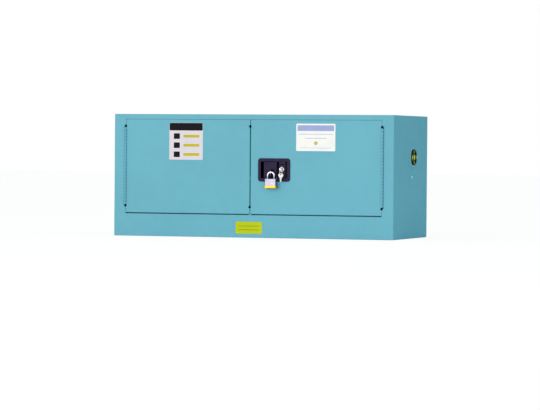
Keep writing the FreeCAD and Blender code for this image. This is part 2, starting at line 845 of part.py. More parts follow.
def make_left_door():
    """Left door with its strike plate and closing strip."""
    skin = make_door_skin("left_door_skin", -1)
    hole = Rect("rod_front - keeper_clear", "bolt_z - bolt_half - keeper_clear",
                "rod_back + keeper_clear", "bolt_z + bolt_half + keeper_clear")
    cut(skin, SIDE, "left_meeting - 2 * sheet", "left_meeting", hole)
    liner = make_door_liner("left_door_liner", -1)
    cut(liner, SIDE, "left_meeting - 3 * sheet", "left_meeting - sheet", hole)
    strike = new_piece("strike_plate")
    plate_x = "left_meeting - edge_relief - 2 * sheet - seam"
    plate = Rect("pan_front - door_flange", "bolt_z - strike_height / 2",
                 "pan_front", "bolt_z + strike_height / 2")
    add(strike, SIDE, f"{plate_x} - keeper_thick", plate_x, plate, hole)
    strip = new_piece("closing_strip")
    spans = (("relief_low + relief_hole", "bolt_low - seam"), ("bolt_high + seam", "relief_high - relief_hole"))
    bars = [Rect("strip_front", low, "strip_front + strip_depth", high) for low, high in spans]
    add(strip, SIDE, "strip_x", "strip_x + strip_thick", *bars)


def make_right_door():
    """Right door, cut for the handle, the studs, the rods and the bolt."""
    skin = make_door_skin("right_door_skin", 1)
    window = Rect("tub_left - window_clear", "tub_low - window_clear",
                  "backing_right + window_clear", "tub_top + window_clear")
    cut(skin, FRONT, "front", "skin_inside", window)
    studs = [Disc(x, z, "stud_radius + window_clear") for x, z in stud_places()]
    cut(skin, FRONT, "front", "skin_inside", *studs)
    hole = Rect("rod_front - guide_clear", "bolt_z - bolt_half - guide_clear",
                "rod_back + guide_clear", "bolt_z + bolt_half + guide_clear")
    liner = make_door_liner("right_door_liner", 1)
    for pan in (skin, liner):
        cut(pan, LEVEL, "door_top - 3 * sheet", "door_top", rod_slot("top_rod_x", "guide_clear"))
        cut(pan, LEVEL, "door_low", "door_low + 3 * sheet", rod_slot("bottom_rod_x", "guide_clear"))
        cut(pan, SIDE, "right_meeting", "right_meeting + 3 * sheet", hole)
    lap = "cover_lap"
    half_width, half_height = f"(cover_width / 2 - {lap})", f"(cover_height / 2 - {lap})"
    access = Rect(f"rotor_x - {half_width}", f"rotor_z - {half_height}",
                  f"rotor_x + {half_width}", f"rotor_z + {half_height}")
    cut(liner, FRONT, "pan_front", "door_back", access)
    cut(liner, FRONT, "pan_front", "door_back", *[
        Disc(x, z, "cover_screw + seam") for x, z in cover_places()])


def stud_places():
    """Where the housing's four studs stand."""
    return [(x, z) for x in ("plate_left + stud_inset", "plate_right - stud_inset")
            for z in ("plate_low + stud_inset", "plate_top - stud_inset")]


def cover_places():
    """Where the four screws of the latch cover stand."""
    half = "cover_lap / 2"
    return [(x, z) for x in (f"rotor_x - cover_width / 2 + {half}", f"rotor_x + cover_width / 2 - {half}")
            for z in (f"rotor_z - cover_height / 2 + {half}", f"rotor_z + cover_height / 2 - {half}")]


def make_latch_cover():
    """Cover over the latch on the inside of the right door, and its screws."""
    cover = new_piece("latch_cover")
    plate = Rect("rotor_x - cover_width / 2", "rotor_z - cover_height / 2",
                 "rotor_x + cover_width / 2", "rotor_z + cover_height / 2")
    add(cover, FRONT, "door_back", "door_back + sheet", plate)
    cut(cover, FRONT, "door_back", "door_back + sheet", *[
        Disc(x, z, "cover_screw + seam") for x, z in cover_places()])
    screws = new_piece("cover_screws")
    add(screws, FRONT, "pan_front - 2 * sheet", "door_back + sheet", *[
        Disc(x, z, "cover_screw") for x, z in cover_places()])
    add(screws, FRONT, "door_back + sheet", "door_back + sheet + cover_screw", *[
        Disc(x, z, "2 * cover_screw") for x, z in cover_places()])
    chamfer(screws, "cover_screw / 2", behind("door_back + sheet + cover_screw"))


# Handle

def make_housing():
    """Flush housing: flange, paddle pocket, lock panel and studs."""
    housing = new_piece("handle_housing")
    flange = Rect("plate_left", "plate_low", "plate_right", "plate_top")
    add(housing, FRONT, "plate_front", "front", flange)
    fillet(housing, "handle_corner", lambda box: box.YLength > 1)
    fillet(housing, "handle_edge", before("plate_front"))
    add(housing, FRONT, "front", "backing_back", Rect("tub_left", "tub_low", "backing_right", "tub_top"))
    add(housing, FRONT, "backing_back", "tub_back", Rect("tub_left", "tub_low", "tub_right", "tub_top"))
    cut(housing, FRONT, "plate_front", "pocket_floor",
        Rect("pocket_left", "pocket_low", "pocket_right", "pocket_top"))
    panel = Rect("pocket_right", "pocket_low", "panel_right", "pocket_top")
    cut(housing, FRONT, "plate_front", "panel_floor", panel)
    lower = Rect("lock_pad_left", "lock_pad_low", "lock_pad_right", "lock_pad_top")
    upper = Rect("lock_pad_left", "lock_pad_top + lock_pad_gap",
                 "lock_pad_right - pad_slot", "pocket_top - lock_pad_gap / 2")
    add(housing, FRONT, "lock_pad_front", "panel_floor", lower, upper)
    cut(housing, FRONT, "lock_pad_front", "backing_back", Disc("lock_x", "lock_z", "barrel_radius + lock_clear"))
    ball_slot = Rect("pivot_x - ball_reach * sin(paddle_pull) - ball_radius - rod_gap",
                     "ball_z - ball_radius - rod_gap",
                     "pivot_x + ball_radius + rod_gap", "ball_z + ball_radius + rod_gap")
    cut(housing, FRONT, "pocket_floor", "tub_back", ball_slot)
    cut(housing, FRONT, "pocket_floor", "tub_back", Disc("rotor_x", "rotor_z", "stem_radius - rod_gap"))
    cut(housing, LEVEL, "tub_low", "tub_top", Disc("pivot_x", "pivot_y", "pivot_radius"))
    for x, z in stud_places():
        add(housing, FRONT, "front", "front + stud_length", Disc(x, z, "stud_radius"))
    nuts = new_piece("handle_nuts")
    add(nuts, FRONT, "skin_inside", "skin_inside + nut_thick", *[
        hexagon(x, z, "nut_flats / 2") for x, z in stud_places()])
    cut(nuts, FRONT, "skin_inside", "skin_inside + nut_thick", *[
        Disc(x, z, "stud_radius") for x, z in stud_places()])


def hexagon(x, y, half_flats):
    """A hexagon about a centre, of a given half width across its flats."""
    turns = [60 * corner for corner in range(6)]
    return Poly(*[(f"{x} + {half_flats} / cos(30) * cos({turn})",
                   f"{y} + {half_flats} / cos(30) * sin({turn})") for turn in turns])


def make_paddle():
    """Pull paddle: plate, grip, pivot boss and the tail with its ball."""
    paddle = new_piece("handle_paddle")
    add(paddle, LEVEL, "paddle_low", "paddle_top",
        Rect("paddle_left", "paddle_front", "paddle_right", "paddle_back"))
    fillet(paddle, "door_bend", before("paddle_front"))
    add(paddle, LEVEL, "paddle_low", "paddle_top",
        Rect("paddle_left", "paddle_back", "paddle_left + paddle_thick", "paddle_front + grip_depth"))
    add(paddle, LEVEL, "paddle_low", "paddle_top", Disc("pivot_x", "pivot_y", "pivot_boss"))
    tail_low, tail_high = "ball_z - tail_height / 2", "ball_z + tail_height / 2"
    add(paddle, LEVEL, tail_low, tail_high,
        Rect("pivot_x - tail_width / 2", "pivot_y", "pivot_x + tail_width / 2", "pocket_floor - tail_width"))
    add(paddle, FRONT, "pocket_floor - tail_width", "ball_y", Disc("pivot_x", "ball_z", "ball_neck"))
    cut(paddle, LEVEL, "paddle_low", "paddle_top", Disc("pivot_x", "pivot_y", "pivot_radius + pin_clear"))
    cut(paddle, LEVEL, "spring_low", "spring_low + spring_gap",
        Rect("pivot_x - 2 * pivot_boss", "paddle_back", "pivot_x + 2 * pivot_boss", "pivot_y + 2 * pivot_boss"))
    eye = Rect("padlock_x - eye_thick / 2 - seam", "eye_low - seam",
               "padlock_x + eye_thick / 2 + seam", "eye_high + seam")
    cut(paddle, FRONT, "paddle_front", "paddle_back", eye)
    ball = paddle.newObject("PartDesign::AdditiveSphere", "handle_paddle_ball")
    ball.setExpression("Radius", formula("ball_radius"))
    ball.setExpression("Placement.Base.x", formula("pivot_x"))
    ball.setExpression("Placement.Base.y", formula("ball_y"))
    ball.setExpression("Placement.Base.z", formula("ball_z"))
    paddle.Tip = ball
    pin = new_piece("handle_pin")
    add(pin, LEVEL, "tub_low", "tub_top", Disc("pivot_x", "pivot_y", "pivot_radius"))


def make_padlock_eye():
    """Eye that the padlock hangs in, set through the paddle with its foot behind."""
    eye = new_piece("padlock_eye")
    half = "eye_thick / 2"
    tip = "padlock_y - eye_hole - eye_rim"
    add(eye, SIDE, f"padlock_x - {half}", f"padlock_x + {half}",
        Rect(tip, "eye_low", "paddle_back", "eye_high"))
    end = number(tip) + 0.05
    fillet(eye, "eye_round", lambda box: box.YMax < end and box.XLength > 1)
    add(eye, FRONT, "paddle_back", "paddle_back + eye_thick / 2",
        Rect("padlock_x - 3 * eye_thick", "eye_low", "padlock_x + 3 * eye_thick", "eye_high"))
    cut(eye, SIDE, f"padlock_x - {half}", f"padlock_x + {half}", Disc("padlock_y", "eye_z", "eye_hole"))


def make_paddle_spring():
    """Torsion spring round the paddle's pin: one unbroken wire of several turns with two short legs."""
    wire = number("spring_wire")
    radius = number("pivot_radius + spring_clear + spring_wire")
    turns = int(SIZES["spring_turns"])
    start = number("spring_low + 2 * spring_wire")
    pitch = (number("spring_gap") - 4 * wire) / turns
    slope = math.atan2(pitch, 2 * math.pi * radius)
    centre = FreeCAD.Vector(number("pivot_x"), number("pivot_y"), start)

    def on_helix(angle):
        """Point of the helix after an angle, and its direction there."""
        around = math.pi + angle
        point = FreeCAD.Vector(radius * math.cos(around), radius * math.sin(around),
                               pitch * angle / (2 * math.pi))
        heading = FreeCAD.Vector(-math.cos(slope) * math.sin(around),
                                 math.cos(slope) * math.cos(around), math.sin(slope))
        return centre + point, heading

    def two_arcs(start_angle, end_angle):
        """Two arcs that join the helix's points smoothly."""
        (first, heading), (last, leaving) = on_helix(start_angle), on_helix(end_angle)
        chord = last - first
        both = heading + leaving
        along = chord.dot(both)
        spread = 4 - both.dot(both)
        span = chord.dot(chord) / (2 * along)
        if spread > 1e-9:
            span = (math.sqrt(along * along + spread * chord.dot(chord)) - along) / spread
        joint = (first + heading * span + last - leaving * span) * 0.5
        return arc_from(first, heading, joint), arc_from(last, leaving * -1, joint)

    def arc_from(point, heading, joint):
        """The arc that leaves a point along a heading and ends in the joint."""
        chord = joint - point
        across = chord - heading * chord.dot(heading)
        across.normalize()
        bend = chord.dot(chord) / (2 * chord.dot(across))
        middle = point + across * bend
        outward = ((point - middle) + (joint - middle))
        outward.normalize()
        return Part.Arc(point, middle + outward * bend, joint).toShape()

    quarter = math.pi / 2
    first, heading = on_helix(0)
    last, leaving = on_helix(4 * turns * quarter)
    long_leg = number("pocket_floor - spring_wire - pivot_y") / abs(heading.y)
    short_leg = number("pivot_y - paddle_back - spring_wire") / abs(leaving.y)
    edges = [Part.makeLine(first - heading * long_leg, first)]
    for step in range(4 * turns):
        edges += two_arcs(quarter * step, quarter * (step + 1))
    edges.append(Part.makeLine(last, last + leaving * short_leg))
    path = Part.Wire(Part.__sortEdges__(edges))
    section = Part.Wire([Part.Circle(first - heading * long_leg, heading, wire).toShape()])
    coil = path.makePipeShell([section], True, False)
    spring = DOCUMENT.addObject("Part::Feature", "handle_spring")
    spring.Label = "handle_spring"
    spring.Shape = coil
    PIECES.append(spring)
    print(f"spring: {turns} turns, least gap between turns {pitch - 2 * wire:.2f} mm")


# Latch

def arm(angle, length, half):
    """A latch arm from the rotor's centre at an angle from the X axis."""
    corners = []
    for along, across in ((0, -1), (1, -1), (1, 1), (0, 1)):
        reach, offset = f"{along} * ({length})", f"{across} * {half}"
        corners.append((f"rotor_x + {reach} * cos({angle}) - {offset} * sin({angle})",
                        f"rotor_z + {reach} * sin({angle}) + {offset} * cos({angle})"))
    return Poly(*corners)


def make_rotor():
    """Four-armed rotor: a forked arm for the paddle's ball and three arms with link pins."""
    rotor = new_piece("latch_rotor")
    add(rotor, FRONT, "rotor_front", "rotor_back", Disc("rotor_x", "rotor_z", "hub_radius"))
    fork_length = "ball_arm + ball_radius + slide_clear + link_pin"
    fork_half = "(ball_radius + slide_clear + link_pin)"
    add(rotor, FRONT, "rotor_front", "rotor_back", arm("(90 - half_turn)", fork_length, fork_half))
    pins = (("(180 - half_turn)", "top_rod_x", "top_rod_z"), ("(-half_turn)", "bottom_rod_x", "bottom_rod_z"),
            ("(270 - half_turn)", "bolt_pin_x", "bolt_z"))
    for angle, x, z in pins:
        add(rotor, FRONT, "rotor_front", "rotor_back", arm(angle, "latch_arm", "arm_half"))
        add(rotor, FRONT, "rotor_front", "rotor_back", Disc(x, z, "arm_half"))
        add(rotor, FRONT, "rotor_back", "link_back", Disc(x, z, "link_pin"))
    mouth = "(ball_radius + slide_clear)"
    slot = arm("(90 - half_turn)", fork_length, mouth)
    far = slot.corners[1:3]
    root = arm("(90 - half_turn)", "ball_arm - ball_radius - 3 * slide_clear", mouth).corners[1:3]
    cut(rotor, FRONT, "rotor_front", "rotor_back", Poly(root[0], far[0], far[1], root[1]))
    cut(rotor, FRONT, "rotor_front", "rotor_back", Disc("rotor_x", "rotor_z", "stem_radius + pin_clear"))
    pivot = new_piece("rotor_pivot")
    add(pivot, FRONT, "pocket_floor", "tub_back", Disc("rotor_x", "rotor_z", "stem_radius - rod_gap"))
    add(pivot, FRONT, "tub_back", "rotor_back + seam", Disc("rotor_x", "rotor_z", "stem_radius"))
    add(pivot, FRONT, "rotor_back + seam", "rotor_back + seam + rod_gap + link_pin / 2",
        Disc("rotor_x", "rotor_z", "stem_radius + link_pin"))


def make_rods():
    """Top rod, bottom rod and centre bolt, each slotted for its link pin."""
    end = "link_pin + slide_clear + 2 * link_pin"
    play = "(pin_hole + latch_arm * (1 - cos(half_turn)))"
    for name, x, z, tip, way in (("top_rod", "top_rod_x", "top_rod_z", "top_tip", 1),
                                 ("bottom_rod", "bottom_rod_x", "bottom_rod_z", "bottom_tip", -1)):
        rod = new_piece(name)
        inner = f"{z} - {way} * ({end})"
        shoulder = f"{tip} - {way} * rod_half"
        bar = Poly((f"{x} - rod_half", inner), (f"{x} + rod_half", inner), (f"{x} + rod_half", shoulder),
                   (f"{x} + rod_half / 3", tip), (f"{x} - rod_half / 3", tip), (f"{x} - rod_half", shoulder))
        add(rod, FRONT, "rod_front", "rod_back", bar)
        cut(rod, FRONT, "rod_front", "rod_back",
            Rect(f"{x} - {play}", f"{z} - pin_hole", f"{x} + {play}", f"{z} + pin_hole"))
    bolt = new_piece("centre_bolt")
    inner = f"bolt_pin_x + {end}"
    bar = Poly((inner, "bolt_z - bolt_half"), (inner, "bolt_z + bolt_half"),
               ("bolt_tip + bolt_half", "bolt_z + bolt_half"), ("bolt_tip", "bolt_z + bolt_half / 3"),
               ("bolt_tip", "bolt_z - bolt_half / 3"), ("bolt_tip + bolt_half", "bolt_z - bolt_half"))
    add(bolt, FRONT, "rod_front", "rod_back", bar)
    cut(bolt, FRONT, "rod_front", "rod_back",
        Rect("bolt_pin_x - pin_hole", f"bolt_z - {play}", "bolt_pin_x + pin_hole", f"bolt_z + {play}"))


def saddle(across, half, swap):
    """Section of a guide that straddles a rod, with a foot on each side."""
    inner, outer = f"({half} + guide_clear)", f"({half} + guide_clear + sheet)"
    foot = f"({half} + guide_clear + guide_foot)"
    roof, lid = "rod_front - guide_clear", "rod_front - guide_clear - sheet"
    half_section = [(foot, "pan_front"), (foot, "pan_front - sheet"), (outer, "pan_front - sheet"), (outer, lid)]
    inside = [(inner, roof), (inner, "pan_front")]
    right = [(f"{across} + {a}", y) for a, y in half_section]
    left = [(f"{across} - {a}", y) for a, y in reversed(half_section)]
    back = [(f"{across} - {a}", y) for a, y in reversed(inside)]
    forth = [(f"{across} + {a}", y) for a, y in inside]
    corners = right + left + back + forth
    return Poly(*[(y, a) for a, y in corners]) if swap else Poly(*corners)


def make_guides():
    """Saddles on the inner pan that guide the rods and the bolt."""
    guides = new_piece("rod_guides")
    top, low = "door_top - guide_set", "door_low + guide_set"
    add(guides, LEVEL, f"{top} - guide_length", top, saddle("top_rod_x", "rod_half", False))
    add(guides, LEVEL, low, f"{low} + guide_length", saddle("bottom_rod_x", "rod_half", False))
    add(guides, SIDE, "guide_set", "guide_set + guide_length", saddle("bolt_z", "bolt_half", True))


# Lock and keys

def turned(name, x, z, rings):
    """A piece turned about a line along Y: rings of (radius, front, back)."""
    piece = new_piece(name)
    for radius, low, high in rings:
        add(piece, FRONT, low, high, Disc(x, z, radius))
    return piece


def make_lock():
    """Cylinder lock: barrel with bezel, nut, turning plug and cam."""
    barrel = turned("lock_barrel", "lock_x", "lock_z", [
        ("bezel_radius", "bezel_front", "lock_pad_front"), ("barrel_radius", "lock_pad_front", "barrel_back")])
    chamfer(barrel, "door_bend", before("bezel_front"))
    cut(barrel, FRONT, "bezel_front", "barrel_back", Disc("lock_x", "lock_z", "plug_radius + lock_clear"))
    nut = new_piece("lock_nut")
    add(nut, FRONT, "backing_back", "backing_back + lock_nut_thick",
        hexagon("lock_x", "lock_z", "lock_nut_radius"), Disc("lock_x", "lock_z", "barrel_radius + lock_clear"))
    plug = turned("lock_plug", "lock_x", "lock_z", [("plug_radius", "bezel_front - seam", "barrel_back + seam")])
    square = Rect("lock_x - plug_radius / 2", "lock_z - plug_radius / 2",
                  "lock_x + plug_radius / 2", "lock_z + plug_radius / 2")
    add(plug, FRONT, "barrel_back + seam", "barrel_back + 2 * seam + cam_thick + 0.4", square)
    keyway = Rect("lock_x - keyway_wide / 2", "lock_z - plug_radius * 0.7",
                  "lock_x + keyway_wide / 2", "lock_z + plug_radius * 0.7")
    cut(plug, FRONT, "bezel_front - seam", "key_y + key_length + seam", keyway)
    cam = new_piece("lock_cam")
    cam_front, cam_back = "barrel_back + 2 * seam", "barrel_back + 2 * seam + cam_thick"
    add(cam, FRONT, cam_front, cam_back, Disc("lock_x", "lock_z", "plug_radius + cam_thick"))
    add(cam, FRONT, cam_front, cam_back,
        Rect("lock_x - plug_radius * 0.8", "lock_z", "lock_x + plug_radius * 0.8", "lock_z + cam_reach"))
    hole = "(plug_radius / 2 + seam / 2)"
    cut(cam, FRONT, cam_front, cam_back,
        Rect(f"lock_x - {hole}", f"lock_z - {hole}", f"lock_x + {hole}", f"lock_z + {hole}"))


def about_z(turn):
    """A turn about the upright axis."""
    return FreeCAD.Rotation(FreeCAD.Vector(0, 0, 1), number(turn))


def key_figures(centre, across, along_sign):
    """Outlines of a key about its bow: neck, blade with its bitting, and bow."""
    def corner(along, offset):
        return (f"{centre} + {along_sign} * ({along})", f"{across} + {offset}")
    blade = Poly(*[corner(a, b) for a, b in (
        ("bow_radius / 2", "-3.2"), ("key_length - 2.5", "-3.2"), ("key_length", "-0.6"), ("key_length - 1.5", "1.6"),
        ("key_length - 4", "3"), ("key_length - 6", "1.4"), ("key_length - 8", "3"), ("key_length - 10", "2"),
        ("key_length - 12", "3.2"), ("bow_radius / 2", "3.2"))])
    neck = Poly(*[corner(a, b) for a, b in (
        ("bow_hole", "-4.4"), ("key_set - 0.6", "-4.4"), ("key_set - 0.6", "4.4"), ("bow_hole", "4.4"))])
    return blade, neck


def make_keys():
    """Key in the lock, ring through its bow, and the spare key that hangs from the ring."""
    key = new_piece("lock_key")
    low, high = "lock_x - key_thick / 2", "lock_x + key_thick / 2"
    blade, neck = key_figures("key_y", "lock_z", 1)
    add(key, SIDE, low, high, Disc("key_y", "lock_z", "bow_radius"))
    add(key, SIDE, low, high, neck)
    add(key, SIDE, low, high, blade)
    cut(key, SIDE, low, high, Disc("key_y", "lock_z", "bow_hole"))
    spare = new_piece("spare_key")
    low, high = "-key_thick / 2", "key_thick / 2"
    blade, neck = key_figures("spare_z", "0", -1)
    add(spare, FRONT, low, high, Disc("0", "spare_z", "bow_radius"))
    for figure in (neck, blade):
        add(spare, FRONT, low, high, Poly(*[(b, a) for a, b in figure.corners]))
    cut(spare, FRONT, low, high, Disc("0", "spare_z", "bow_hole"))
    spare.Placement = FreeCAD.Placement(FreeCAD.Vector(), about_z("spare_turn"))
    spare.setExpression("Placement.Base.x", formula("lock_x"))
    spare.setExpression("Placement.Base.y", formula("key_y"))
    ring = new_piece("key_ring")
    wire = ring.newObject("PartDesign::AdditiveTorus", "key_ring_wire")
    wire.setExpression("Radius1", formula("ring_radius"))
    wire.setExpression("Radius2", formula("ring_wire"))
    upright = FreeCAD.Rotation(FreeCAD.Vector(1, 0, 0), 90)
    wire.Placement = FreeCAD.Placement(FreeCAD.Vector(), about_z("ring_turn").multiply(upright))
    for axis, place in (("x", "lock_x"), ("y", "key_y"), ("z", "ring_z")):
        wire.setExpression(f"Placement.Base.{axis}", formula(place))
    ring.Tip = wire


# Padlock

def make_padlock():
    """Laminated padlock: shackle, plates and base."""
    shackle = new_piece("padlock_shackle")
    bend = draw_on(shackle, FRONT, "padlock_y", [
        Bow(("padlock_x", "arch_z"), "shackle_half", "padlock_top - shackle_heel", "padlock_top - shackle_toe")])
    rod = draw_on(shackle, LEVEL, "padlock_top - shackle_heel", [
        Disc("padlock_x - shackle_half", "padlock_y", "shackle_rod")])
    pipe = shackle.newObject("PartDesign::AdditivePipe", "padlock_shackle_pipe")
    pipe.Profile = rod
    pipe.Spine = (bend, ["Edge1", "Edge2", "Edge3"])
    shackle.Tip = pipe
    case = new_piece("padlock_case")
    add(case, LEVEL, "case_low", "padlock_top", lock_outline("0"))
    for step in range(1, int(SIZES["plate_count"])):
        level = f"case_low + {step} * plate_pitch"
        cut(case, LEVEL, f"{level} - plate_groove", f"{level} + plate_groove",
            lock_outline("seam"), lock_outline("-plate_groove"))
    long_bore = Disc("padlock_x - shackle_half", "padlock_y", "shackle_rod + shackle_clear")
    short_bore = Disc("padlock_x + shackle_half", "padlock_y", "shackle_rod + shackle_clear")
    cut(case, LEVEL, "padlock_top - shackle_heel - seam", "padlock_top", long_bore)
    cut(case, LEVEL, "padlock_top - shackle_toe - seam", "padlock_top", short_bore)
    base = new_piece("padlock_base")
    add(base, LEVEL, "bumper_low", "case_low", lock_outline("bumper_lap"))
    chamfer(base, "bumper_lap / 2", lambda box: box.ZLength < 0.1)


def lock_outline(lap):
    """The padlock's plan with rounded corners, grown by a lap."""
    half_width, half_thick = f"(padlock_width / 2 - padlock_round)", f"(padlock_thick / 2 - padlock_round)"
    corners = []
    for quarter, (across, along) in enumerate(((1, 1), (-1, 1), (-1, -1), (1, -1))):
        for step in range(4):
            turn = 90 * quarter + 30 * step
            corners.append((
                f"padlock_x + {across} * {half_width} + (padlock_round + {lap}) * cos({turn})",
                f"padlock_y + {along} * {half_thick} + (padlock_round + {lap} * 0.5) * sin({turn})"))
    return Poly(*corners)


# Vents and earth screw

def turn_about_vent(name, side, height, corners):
    """A ring about a vent's axis: corners of (radius, distance from the middle)."""
    piece = new_piece(name)
    figure = Poly(*[(mirrored(side, x), f"vent_y + {radius}") for radius, x in corners])
    axis = ((mirrored(side, "liner_half"), "vent_y"), (mirrored(side, "half_width"), "vent_y"))
    revolve(piece, LEVEL, height, axis, figure)
    return piece


def make_vent(label, side, height):
    """One vent: collar through both walls, fire screen inside, gasket and threaded plug."""
    collar = turn_about_vent(f"{label}_vent_collar", side, height, [
        ("vent_bore", "vent_face"), ("vent_rim - 1.5", "vent_face"), ("vent_rim", "vent_face - 1.5"),
        ("vent_rim", "half_width"), ("vent_neck", "half_width"), ("vent_neck", "neck_end"),
        ("(vent_bore - vent_step)", "neck_end"), ("(vent_bore - vent_step)", "step_face"),
        ("vent_bore", "step_face")])
    screen_out = "(vent_rim)"
    screen = turn_about_vent(f"{label}_vent_screen", side, height, [
        ("0", "neck_end - screen_sheet"), (screen_out, "neck_end - screen_sheet"), (screen_out, "neck_end + 4"),
        ("(vent_neck + seam)", "neck_end + 4"), ("(vent_neck + seam)", "neck_end"), ("0", "neck_end")])
    holes = []
    for ring in range(4):
        count = 6 * ring or 1
        for step in range(count):
            turn = 360 * step / count
            holes.append(Disc(f"vent_y + {ring} * screen_pitch * cos({turn})",
                              f"{height} + {ring} * screen_pitch * sin({turn})", "screen_hole"))
    ends = sorted((mirrored(side, "neck_end - screen_sheet"), mirrored(side, "neck_end")), key=number)
    cut(screen, SIDE, *ends, *holes)
    fit = "(vent_bore - vent_plug_clear)"
    turn_about_vent(f"{label}_vent_gasket", side, height, [
        ("(vent_bore - vent_step + seam)", "step_face"), (fit, "step_face"), (fit, "plug_end"),
        ("(vent_bore - vent_step + seam)", "plug_end")])
    plug = turn_about_vent(f"{label}_vent_plug", side, height, [
        ("0", "plug_end"), (fit, "plug_end"), (fit, "plug_face - 1"), (f"{fit} - 1", "plug_face"),
        ("(vent_bore - vent_plug_rim)", "plug_face"), ("(vent_bore - vent_plug_rim)", "plug_face - vent_plug_dish"),
        ("0", "plug_face - vent_plug_dish")])
    low, high = sorted((mirrored(side, "plug_face - vent_plug_dish"), mirrored(side, "plug_face - 1.2")), key=number)
    inner = "(vent_bore - vent_plug_rim)"
    lugs = [Rect("vent_y - 4", f"{height} + {way} * {inner} * 0.55", "vent_y + 4",
                 f"{height} + {way} * {inner} * 0.985") for way in (1, -1)]
    add(plug, SIDE, low, high, Disc("vent_y", height, "vent_plug_rim * 1.7"))
    for lug in lugs:
        add(plug, SIDE, low, high, lug)
    cut(plug, SIDE, low, high, Rect("vent_y - vent_plug_rim * 0.8", f"{height} - vent_plug_rim * 0.8",
                                    "vent_y + vent_plug_rim * 0.8", f"{height} + vent_plug_rim * 0.8"))
    return collar


def make_earth_screw():
    """Earthing screw through the right wall, its toothed washer and the nut inside."""
    screw = new_piece("ground_screw")
    washer_out = "half_width + sheet"
    add(screw, SIDE, "half_width + sheet - earth_length", washer_out, Disc("earth_y", "earth_z", "earth_shank"))
    add(screw, SIDE, washer_out, f"{washer_out} + earth_head", hexagon("earth_y", "earth_z", "earth_shank * 1.6"))
    washer = new_piece("ground_washer")
    add(washer, SIDE, "half_width", washer_out, Disc("earth_y", "earth_z", "earth_shank * 2.2"),
        Disc("earth_y", "earth_z", "earth_shank + seam"))
    nut = new_piece("ground_nut")
    add(nut, SIDE, "half_width - sheet - earth_shank * 1.6", "half_width - sheet",
        hexagon("earth_y", "earth_z", "earth_shank * 1.6"), Disc("earth_y", "earth_z", "earth_shank"))


# Shelf

def make_shelf():
    """Spill shelf: flat sheet with raised hems and turned-down flanges front and back."""
    shelf = new_piece("spill_shelf")
    top, under = "shelf_top", "ledge_top"
    low_front, low_back = "shelf_top - shelf_flange", "shelf_top - shelf_flange * 0.8"
    lip = "shelf_top + shelf_lip"
    add(shelf, SIDE, "-shelf_half", "shelf_half", Poly(
        ("shelf_front + shelf_return", low_front), ("shelf_front", low_front), ("shelf_front", lip),
        ("shelf_front + 2 * sheet", lip), ("shelf_front + 2 * sheet", top), ("shelf_back - 2 * sheet", top),
        ("shelf_back - 2 * sheet", lip), ("shelf_back", lip), ("shelf_back", low_back),
        ("shelf_back - shelf_return", low_back), ("shelf_back - shelf_return", f"{low_back} + sheet"),
        ("shelf_back - sheet", f"{low_back} + sheet"), ("shelf_back - sheet", under),
        ("shelf_front + sheet", under), ("shelf_front + sheet", f"{low_front} + sheet"),
        ("shelf_front + shelf_return", f"{low_front} + sheet")))
    return shelf


def make_standards():
    """Four slotted channels on the liner's sides and the clips that hook into them."""
    standards = new_piece("shelf_standards")
    half, web = "standard_width / 2", "standard_face + sheet"
    places = [(side, row) for side in (1, -1) for row in (1, -1)]
    for side, row in places:
        middle = f"{row} * standard_y"
        channel = Poly(*[(mirrored(side, x), f"{middle} + {y}") for x, y in (
            ("liner_side", f"-{half}"), ("standard_face", f"-{half}"), ("standard_face", half),
            ("liner_side", half), ("liner_side", f"{half} - sheet"), (web, f"{half} - sheet"),
            (web, f"-{half} + sheet"), ("liner_side", f"-{half} + sheet"))])
        add(standards, LEVEL, "standard_low", "standard_high", channel)
    slots = []
    count = int((number("standard_high - slot_base")) / SIZES["slot_pitch"])
    for row in (1, -1):
        for step in range(count + 1):
            middle = f"slot_base + {step} * slot_pitch"
            slots.append(Rect(f"{row} * standard_y - slot_width / 2", f"{middle} - slot_height / 2",
                              f"{row} * standard_y + slot_width / 2", f"{middle} + slot_height / 2"))
    cut(standards, SIDE, "-liner_side", "liner_side", *slots)
    hangers = new_piece("shelf_hangers")
    for side, row in places:
        span = f"{row} * standard_y"
        face = "standard_face - hanger_thick"
        bracket = Poly(*[(mirrored(side, x), z) for x, z in (
            ("standard_face", "ledge_top - slot_pitch - 3 * hook_drop / 2"),
            ("standard_face", "ledge_top"), (f"{face} - hanger_ledge", "ledge_top"),
            (f"{face} - hanger_ledge", "ledge_top - hanger_thick"), (face, "ledge_top - hanger_thick"),
            (face, "ledge_top - slot_pitch - 3 * hook_drop / 2"))])
        add(hangers, FRONT, f"{span} - hanger_width / 2", f"{span} + hanger_width / 2", bracket)
        for drop in ("hook_drop", "hook_drop + slot_pitch"):
            hook = Rect(mirrored(side, "standard_face"), f"ledge_top - ({drop}) - 1",
                        mirrored(side, "standard_face + sheet + hanger_thick"), f"ledge_top - ({drop}) + 1")
            add(hangers, FRONT, f"{span} - slot_width / 2 + 1", f"{span} + slot_width / 2 - 1", hook)


make_outer_shell()
make_back_panel()
make_door_frame()
make_keepers()
make_inner_liner()
make_door_rest()
make_hinges()
make_left_door()
make_right_door()
make_latch_cover()
make_housing()
make_paddle()
make_padlock_eye()
make_paddle_spring()
make_rotor()
make_rods()
make_guides()
make_lock()
make_keys()
make_padlock()
make_vent("right", 1, "right_vent_z")
make_vent("left", -1, "left_vent_z")
make_earth_screw()
make_shelf()
make_standards()
DOCUMENT.recompute()

# Checks before anything is written
for item in DOCUMENT.Objects:
    if "Invalid" in item.State or "Error" in item.State:
        raise RuntimeError(f"{item.Name} ({item.Label}) failed: {item.State}")
for item in DOCUMENT.Objects:
    if item.isDerivedFrom("PartDesign::Pocket"):
        before, after = item.BaseFeature.Shape.Volume, item.Shape.Volume
        if before - after < 1e-3:
            raise RuntimeError(f"{item.Name} cuts nothing")

